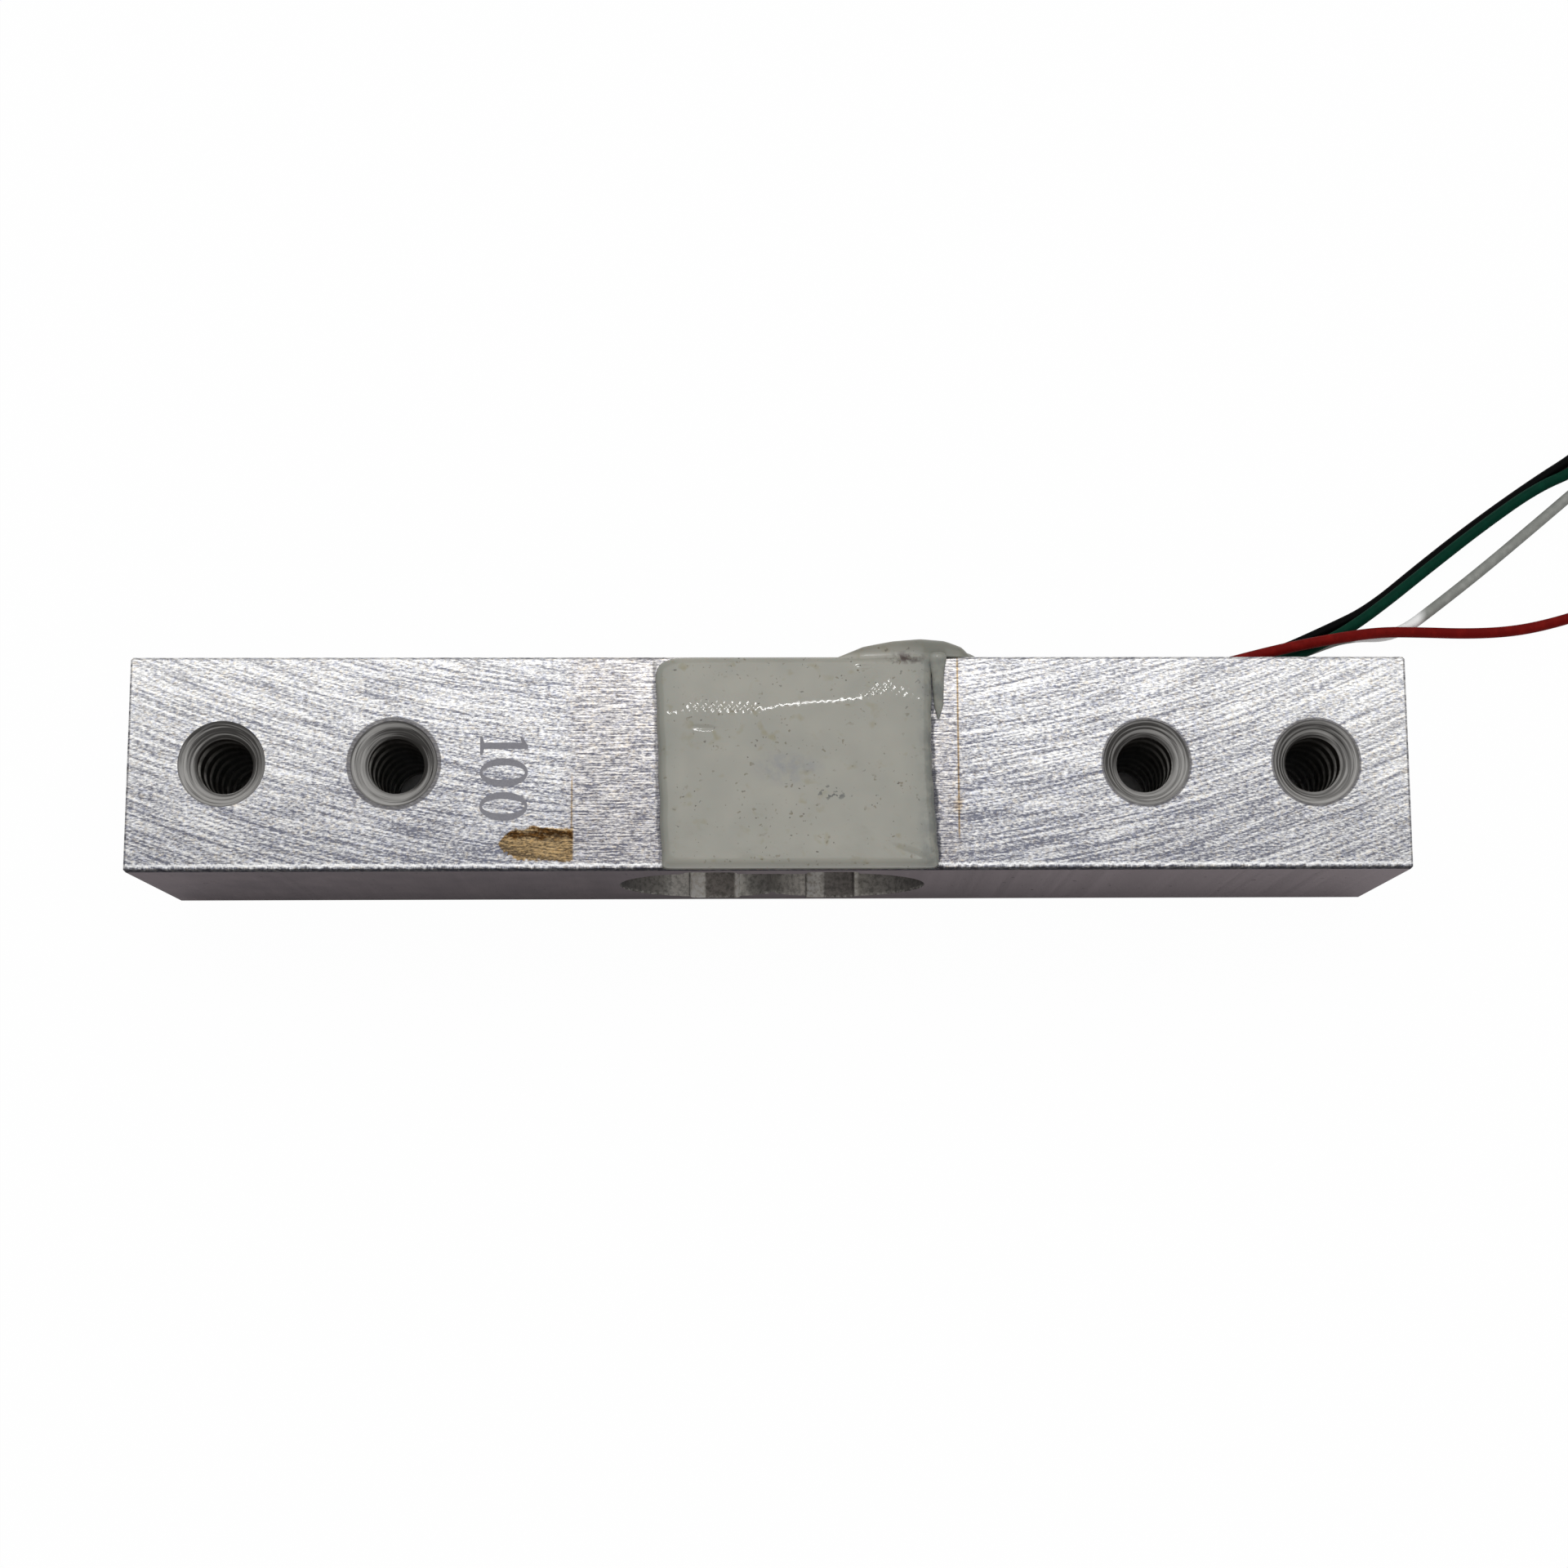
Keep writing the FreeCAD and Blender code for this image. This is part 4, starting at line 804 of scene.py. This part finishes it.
def coat(name, edges, face, thickness, columns, rows, upwards):
    """A spread coat. A square grid is drawn to a four-sided outline whose edges are given as
    left and right places at the front and back and whose corners are rounded. Its height is
    level in the middle, falls in an arc over a shoulder towards the back, and ends in a rim
    that is a quarter circle; where the spatula lifted there are crossed ripples."""
    left_front, left_back, right_front, right_back, front, back = edges
    u, v = np.meshgrid(np.linspace(-1, 1, columns), np.linspace(-1, 1, rows))
    share = np.maximum(np.abs(u), np.abs(v))
    angle = np.arctan2(v, u)
    tight_corner, loose_corner = 45.0, 13.0
    squareness = np.where((v < 0) | (u >= 0), tight_corner, loose_corner)
    reach = (np.abs(np.cos(angle)) ** squareness
             + np.abs(np.sin(angle)) ** squareness) ** (-1 / squareness)
    p, q = reach * share * np.cos(angle), reach * share * np.sin(angle)
    t = (q + 1) / 2
    y = front + (back - front) * t
    left = left_front + (left_back - left_front) * t + 0.03 * np.sin(2.1 * y)
    right = right_front + (right_back - right_front) * t - 0.17 * np.sin(
        math.pi * t) ** 2 + 0.02 * np.sin(3.3 * y + 1)
    x = left + (right - left) * (p + 1) / 2
    half, rim_reach = (back - front) / 2, 0.5
    inside = np.clip((1 - share) * half / rim_reach, 0, 1)
    rim = np.sqrt(np.maximum(1 - (1 - inside) ** 2, 0.0))
    z = np.full_like(x, thickness)
    if upwards:
        crease = np.interp(x, (-7, -5, -1, 0.5, 2.5, 4.5, 5.5, 7, 8, 10),
                           (2.40, 2.44, 2.44, 2.85, 3.05, 3.20, 3.30, 3.77, 3.40, 3.10))
        rippled = step(x, -0.2, -1.2) + step(x, 5.0, 5.8)
        rippled *= step(x, -5.6, -4.7) * step(x, 8.6, 7.9)
        width, slope = 0.8 + 0.6 * rippled, 0.15
        z -= slope * width * shoulder((y - crease) / width)
        lift = (0.75 + 1.8 * rippled) * np.exp(-((y - crease - width / 2) / 0.62) ** 2)
        z += 0.0015 * lift * (np.sin(2 * math.pi * (x * 2.3 + y * 1.5))
                              + np.sin(2 * math.pi * (x * 2.1 - y * 1.7) + 1.0))
        z += 0.003 * (np.sin(1.9 * x + 0.7 * y) + np.sin(1.3 * x - 1.6 * y + 2.0))
        z -= 0.045 * (dimple(x, y, 5.5, 5.6, 0.6, 0.16, 5.0)
                      + dimple(x, y, 8.1, -5.5, 0.8, 0.16, -22.0)
                      + 0.6 * dimple(x, y, -3.9, 1.9, 0.7, 0.14, -4.0))
    z = face + (1 if upwards else -1) * z * rim
    grid = np.stack([x, y, z], axis=-1)
    index = np.arange(rows * columns).reshape(rows, columns)
    quads = np.stack([index[:-1, :-1], index[:-1, 1:], index[1:, 1:], index[1:, :-1]],
                     axis=-1).reshape(-1, 4)
    rim_loop = np.concatenate([index[0, :-1], index[:-1, -1], index[-1, :0:-1],
                               index[:0:-1, 0]])
    return sealant_piece(name, grid, quads.tolist() + [rim_loop[::-1].tolist()])


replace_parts(coat("top_silicone_coat", (-6.40, -6.86, 9.76, 9.42, -6.30, 6.31), TOP, 0.86,
                 330, 270, True), "top_sealant")
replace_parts(coat("bottom_silicone_coat", (-6.6, -6.6, 9.6, 9.6, -6.3, 6.3), BOTTOM, 0.69,
                 110, 90, False), "bottom_sealant")


def bead(name, path, across_reach, out_reach, lean, steps, on_face, around=40):
    """A bead laid along a line: an ellipse of changing size carried along a smooth path and
    run to a point at both ends. What would lie inside the bar is pressed out on to its side
    face, or on to its top for a bead that lies there."""
    t = np.linspace(0, 1, steps)
    at = np.linspace(0, 1, len(path))
    line = np.column_stack([np.interp(t, at, np.array(path)[:, k]) for k in range(3)])
    kernel = np.hanning(max(steps // 7, 3) | 1)
    kernel /= kernel.sum()
    padded = np.pad(line, ((len(kernel) // 2,) * 2, (0, 0)), mode="edge")
    line = np.column_stack([np.convolve(padded[:, k], kernel, "valid") for k in range(3)])
    heading = np.gradient(line, axis=0)
    heading /= np.linalg.norm(heading, axis=1)[:, None] + 1e-9
    out = np.broadcast_to(np.array(lean, float), line.shape)
    out = out - heading * (out * heading).sum(1)[:, None]
    out /= np.linalg.norm(out, axis=1)[:, None]
    sideways = np.cross(heading, out)
    ends = np.sqrt(np.clip(1 - np.abs(2 * t - 1) ** 6, 0, 1))
    wide = np.interp(t, np.linspace(0, 1, len(across_reach)), across_reach) * ends
    high = np.interp(t, np.linspace(0, 1, len(out_reach)), out_reach) * ends
    turn = np.linspace(0, 2 * math.pi, around, endpoint=False)
    grid = (line[:, None] + sideways[:, None] * (wide[:, None] * np.cos(turn))[..., None]
            + out[:, None] * (high[:, None] * np.sin(turn))[..., None])
    y, z = grid[..., 1], grid[..., 2]
    side_face, top_face = HALF_WIDTH - 0.005, TOP + 0.002
    in_bar = (y < side_face) & (z < top_face)
    pressed, value = (1, side_face) if on_face else (2, top_face)
    grid[..., pressed] = np.where(in_bar, value, grid[..., pressed])
    index = np.arange(steps * around).reshape(steps, around)
    nearby = np.roll(index, -1, 1)
    quads = np.stack([index[:-1], nearby[:-1], nearby[1:], index[1:]], axis=-1)
    caps = [index[0][::-1].tolist(), index[-1].tolist()]
    return sealant_piece(name, grid, quads.reshape(-1, 4).tolist() + caps)


bead("back_edge_silicone", [(3.7, 6.15, 13.7), (5.4, 6.2, 13.6), (7.2, 6.3, 13.45),
                            (8.8, 6.38, 13.33), (10.2, 6.42, 12.9), (11.2, 6.4, 12.8),
                            (11.9, 6.4, 12.5)],
     (0.10, 0.32, 0.48, 0.63, 0.50, 0.50, 0.30),
     (0.12, 0.70, 0.95, 1.03, 0.98, 0.68, 0.08), (0, 1, 0), 110, True)
leg = bead("side_silicone_coat", [(10.1, 6.3, 13.2), (10.6, 6.3, 11.4), (11.3, 6.3, 8.6),
                                  (11.35, 6.3, 5.6), (11.2, 6.3, 3.2), (10.6, 6.3, 1.7),
                                  (9.4, 6.3, 1.15), (8.0, 6.3, 1.05)],
           (1.1, 1.95, 1.85, 1.85, 1.85, 1.45, 1.0, 0.85),
           (0.6, 0.95, 1.15, 1.15, 1.12, 1.08, 1.0, 0.7), (0, 1, 0), 150, True)
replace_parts(leg, "side_sealant")
bead("silicone_drip", [(9.76, 6.6, 13.68), (9.76, 5.9, 13.64), (9.79, 5.2, 13.58),
                       (9.80, 4.3, 13.54), (9.83, 3.4, 13.48), (9.80, 2.5, 13.42)],
     (0.78, 0.50, 0.36, 0.33, 0.28, 0.05), (0.40, 0.28, 0.22, 0.19, 0.15, 0.03),
     (0, 0, 1), 70, False, 24)


# ---------------------------------------------------------------- rating mark
# The cell's rating, in plain figures that read across the bar. A laser roughened the milled
# face, so they are a matt, dark grey skin with next to no height.
marked = grained_finish("laser-marked aluminium", 9.0, 3.0, "#77767c", "#95949b", 0.75, 0.0,
                        0.00001)
MARK_HEIGHT, MARK_DEPTH = 2.8, 0.004
MARK_FOOT, MARK_START = -17.0, 1.65
SIDE_STROKE, END_STROKE = 0.42, 0.17


def nought(start, width, count=64):
    """A nought: the four corners of a flat strip carried round two ellipses, whose gap is
    wide at the sides and narrow at the ends."""
    angle = np.linspace(0, 2 * math.pi, count, endpoint=False)[:, None]
    reach = np.array([1.0, 1.0, 0.0, 0.0])
    u = start + width / 2 + np.cos(angle) * (width / 2 - (1 - reach) * SIDE_STROKE)
    v = MARK_HEIGHT / 2 + np.sin(angle) * (MARK_HEIGHT / 2 - (1 - reach) * END_STROKE)
    w = np.broadcast_to(np.array([0.0, MARK_DEPTH, MARK_DEPTH, 0.0]), u.shape)
    index = np.arange(count)[:, None] * 4 + np.arange(4)
    after = (np.arange(count)[:, None] + 1) % count * 4 + np.arange(4)
    faces = np.stack([index, after, np.roll(after, -1, 1), np.roll(index, -1, 1)],
                     axis=-1).reshape(-1, 4)
    return np.stack([u, v, w], axis=-1).reshape(-1, 3), faces.tolist()


def one(start):
    """A one as a thin plate: stem, flag and foot serif in one outline."""
    outline = np.array([
        (0.05, 0.0), (1.15, 0.0), (1.15, 0.14), (0.80, 0.24), (0.80, MARK_HEIGHT),
        (0.62, MARK_HEIGHT), (0.05, 2.45), (0.05, 2.32), (0.42, 2.42), (0.42, 0.24),
        (0.05, 0.14)])
    low = np.column_stack([outline[:, 0] + start, outline[:, 1], np.zeros(len(outline))])
    ring = np.arange(len(outline))
    after = np.roll(ring, -1)
    sides = np.stack([ring, after, after + len(ring), ring + len(ring)], axis=-1)
    caps = [ring[::-1].tolist(), (ring + len(ring)).tolist()]
    return np.vstack([low, low + (0, 0, MARK_DEPTH)]), sides.tolist() + caps


mark_points, mark_faces = [], []
for points, faces in (one(0.0), nought(1.35, 1.7), nought(3.35, 1.7)):
    mark_faces += [[i + sum(map(len, mark_points)) for i in face] for face in faces]
    mark_points.append(points)
flat = np.vstack(mark_points)
flat = np.column_stack([MARK_FOOT + flat[:, 1], MARK_START - flat[:, 0],
                        TOP + 0.001 + flat[:, 2]])
mark_mesh = closed_mesh("rating_mark", flat, mark_faces)
mark_mesh.materials.append(marked)
mark = bpy.data.objects.new("rating_mark", mark_mesh)
bpy.context.scene.collection.objects.link(mark)
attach(mark, "root")


# ---------------------------------------------------------------- floor
# A pale matt studio table that looks evenly white, also where glossy pieces mirror it, except
# close to the bar. Right under the bar it is left in the bar's own shade.
FLOOR_REACH = 6.0
floor_mesh = bpy.data.meshes.new("floor")
corners = [(i * FLOOR_REACH, j * FLOOR_REACH, 0) for i, j in ((-1, -1), (1, -1), (1, 1), (-1, 1))]
floor_mesh.from_pydata(corners, [], [(0, 1, 2, 3)])
floor = bpy.data.objects.new("floor", floor_mesh)
bpy.context.scene.collection.objects.link(floor)
table = bpy.data.materials.new("white studio table")
table.use_nodes = True
table.node_tree.nodes.clear()
place = add(table, "TexCoord").node.outputs["Object"]
x, y, z = add(table, "SeparateXYZ", add(table, "VectorMath.SCALE", place, 1 / MM)).node.outputs
off_x = add(table, "Math.ABSOLUTE", x)
off_y = add(table, "Math.ABSOLUTE", y)
under = add(table, "Math.MULTIPLY",
            add(table, "MapRange", off_x, HALF_LENGTH - 0.1, HALF_LENGTH - 0.9),
            add(table, "MapRange", off_y, HALF_WIDTH - 0.05, HALF_WIDTH - 0.75))
apart = add(table, "MapRange", off_y, 7.0, 30.0)
rays = add(table, "LightPath").node.outputs
bounced = add(table, "Math.MAXIMUM", rays["Is Glossy Ray"], rays["Is Transmission Ray"])
mirrored = add(table, "Math.MULTIPLY", bounced, apart)
seen = add(table, "Math.MAXIMUM", rays["Is Camera Ray"], mirrored)
glow = add(table, "Math.MULTIPLY", add(table, "Math.MULTIPLY", seen, 0.98),
           add(table, "Math.SUBTRACT", 1.0, under))
matt = add(table, "BsdfDiffuse", linear("#f2f2f2"))
white = add(table, "Emission", linear("#ffffff"), 1.0)
add(table, "OutputMaterial", add(table, "MixShader", glow, matt, white))
floor_mesh.materials.append(table)


# ---------------------------------------------------------------- lamps
# A broad soft lamp overhead, set a little behind the cell, a narrow strip that runs along it
# and draws the streak on the wet-looking sealant, and an even pale room.
def soft_lamp(name, place, aim, width, depth, watts):
    """A rectangular lamp at a place, turned to a point."""
    data = bpy.data.lights.new(name, "AREA")
    data.shape, data.size, data.size_y, data.energy = "RECTANGLE", width, depth, watts
    lamp = bpy.data.objects.new(name, data)
    lamp.location = place
    lamp.rotation_euler = (Vector(aim) - Vector(place)).to_track_quat("-Z", "Y").to_euler()
    bpy.context.scene.collection.objects.link(lamp)


soft_lamp("overhead", (0.0, 0.27, 0.5), (0, 0.05, 0), 0.7, 0.44, 1.25)
soft_lamp("strip", (0.0045, 0.185, 0.49), (0, 0, 0), 0.058, 0.028, 0.148)
world = bpy.data.worlds.new("room")
world.use_nodes = True
world.node_tree.nodes["Background"].inputs["Color"].default_value = (1, 1, 1, 1)
world.node_tree.nodes["Background"].inputs["Strength"].default_value = 0.5
bpy.context.scene.world = world
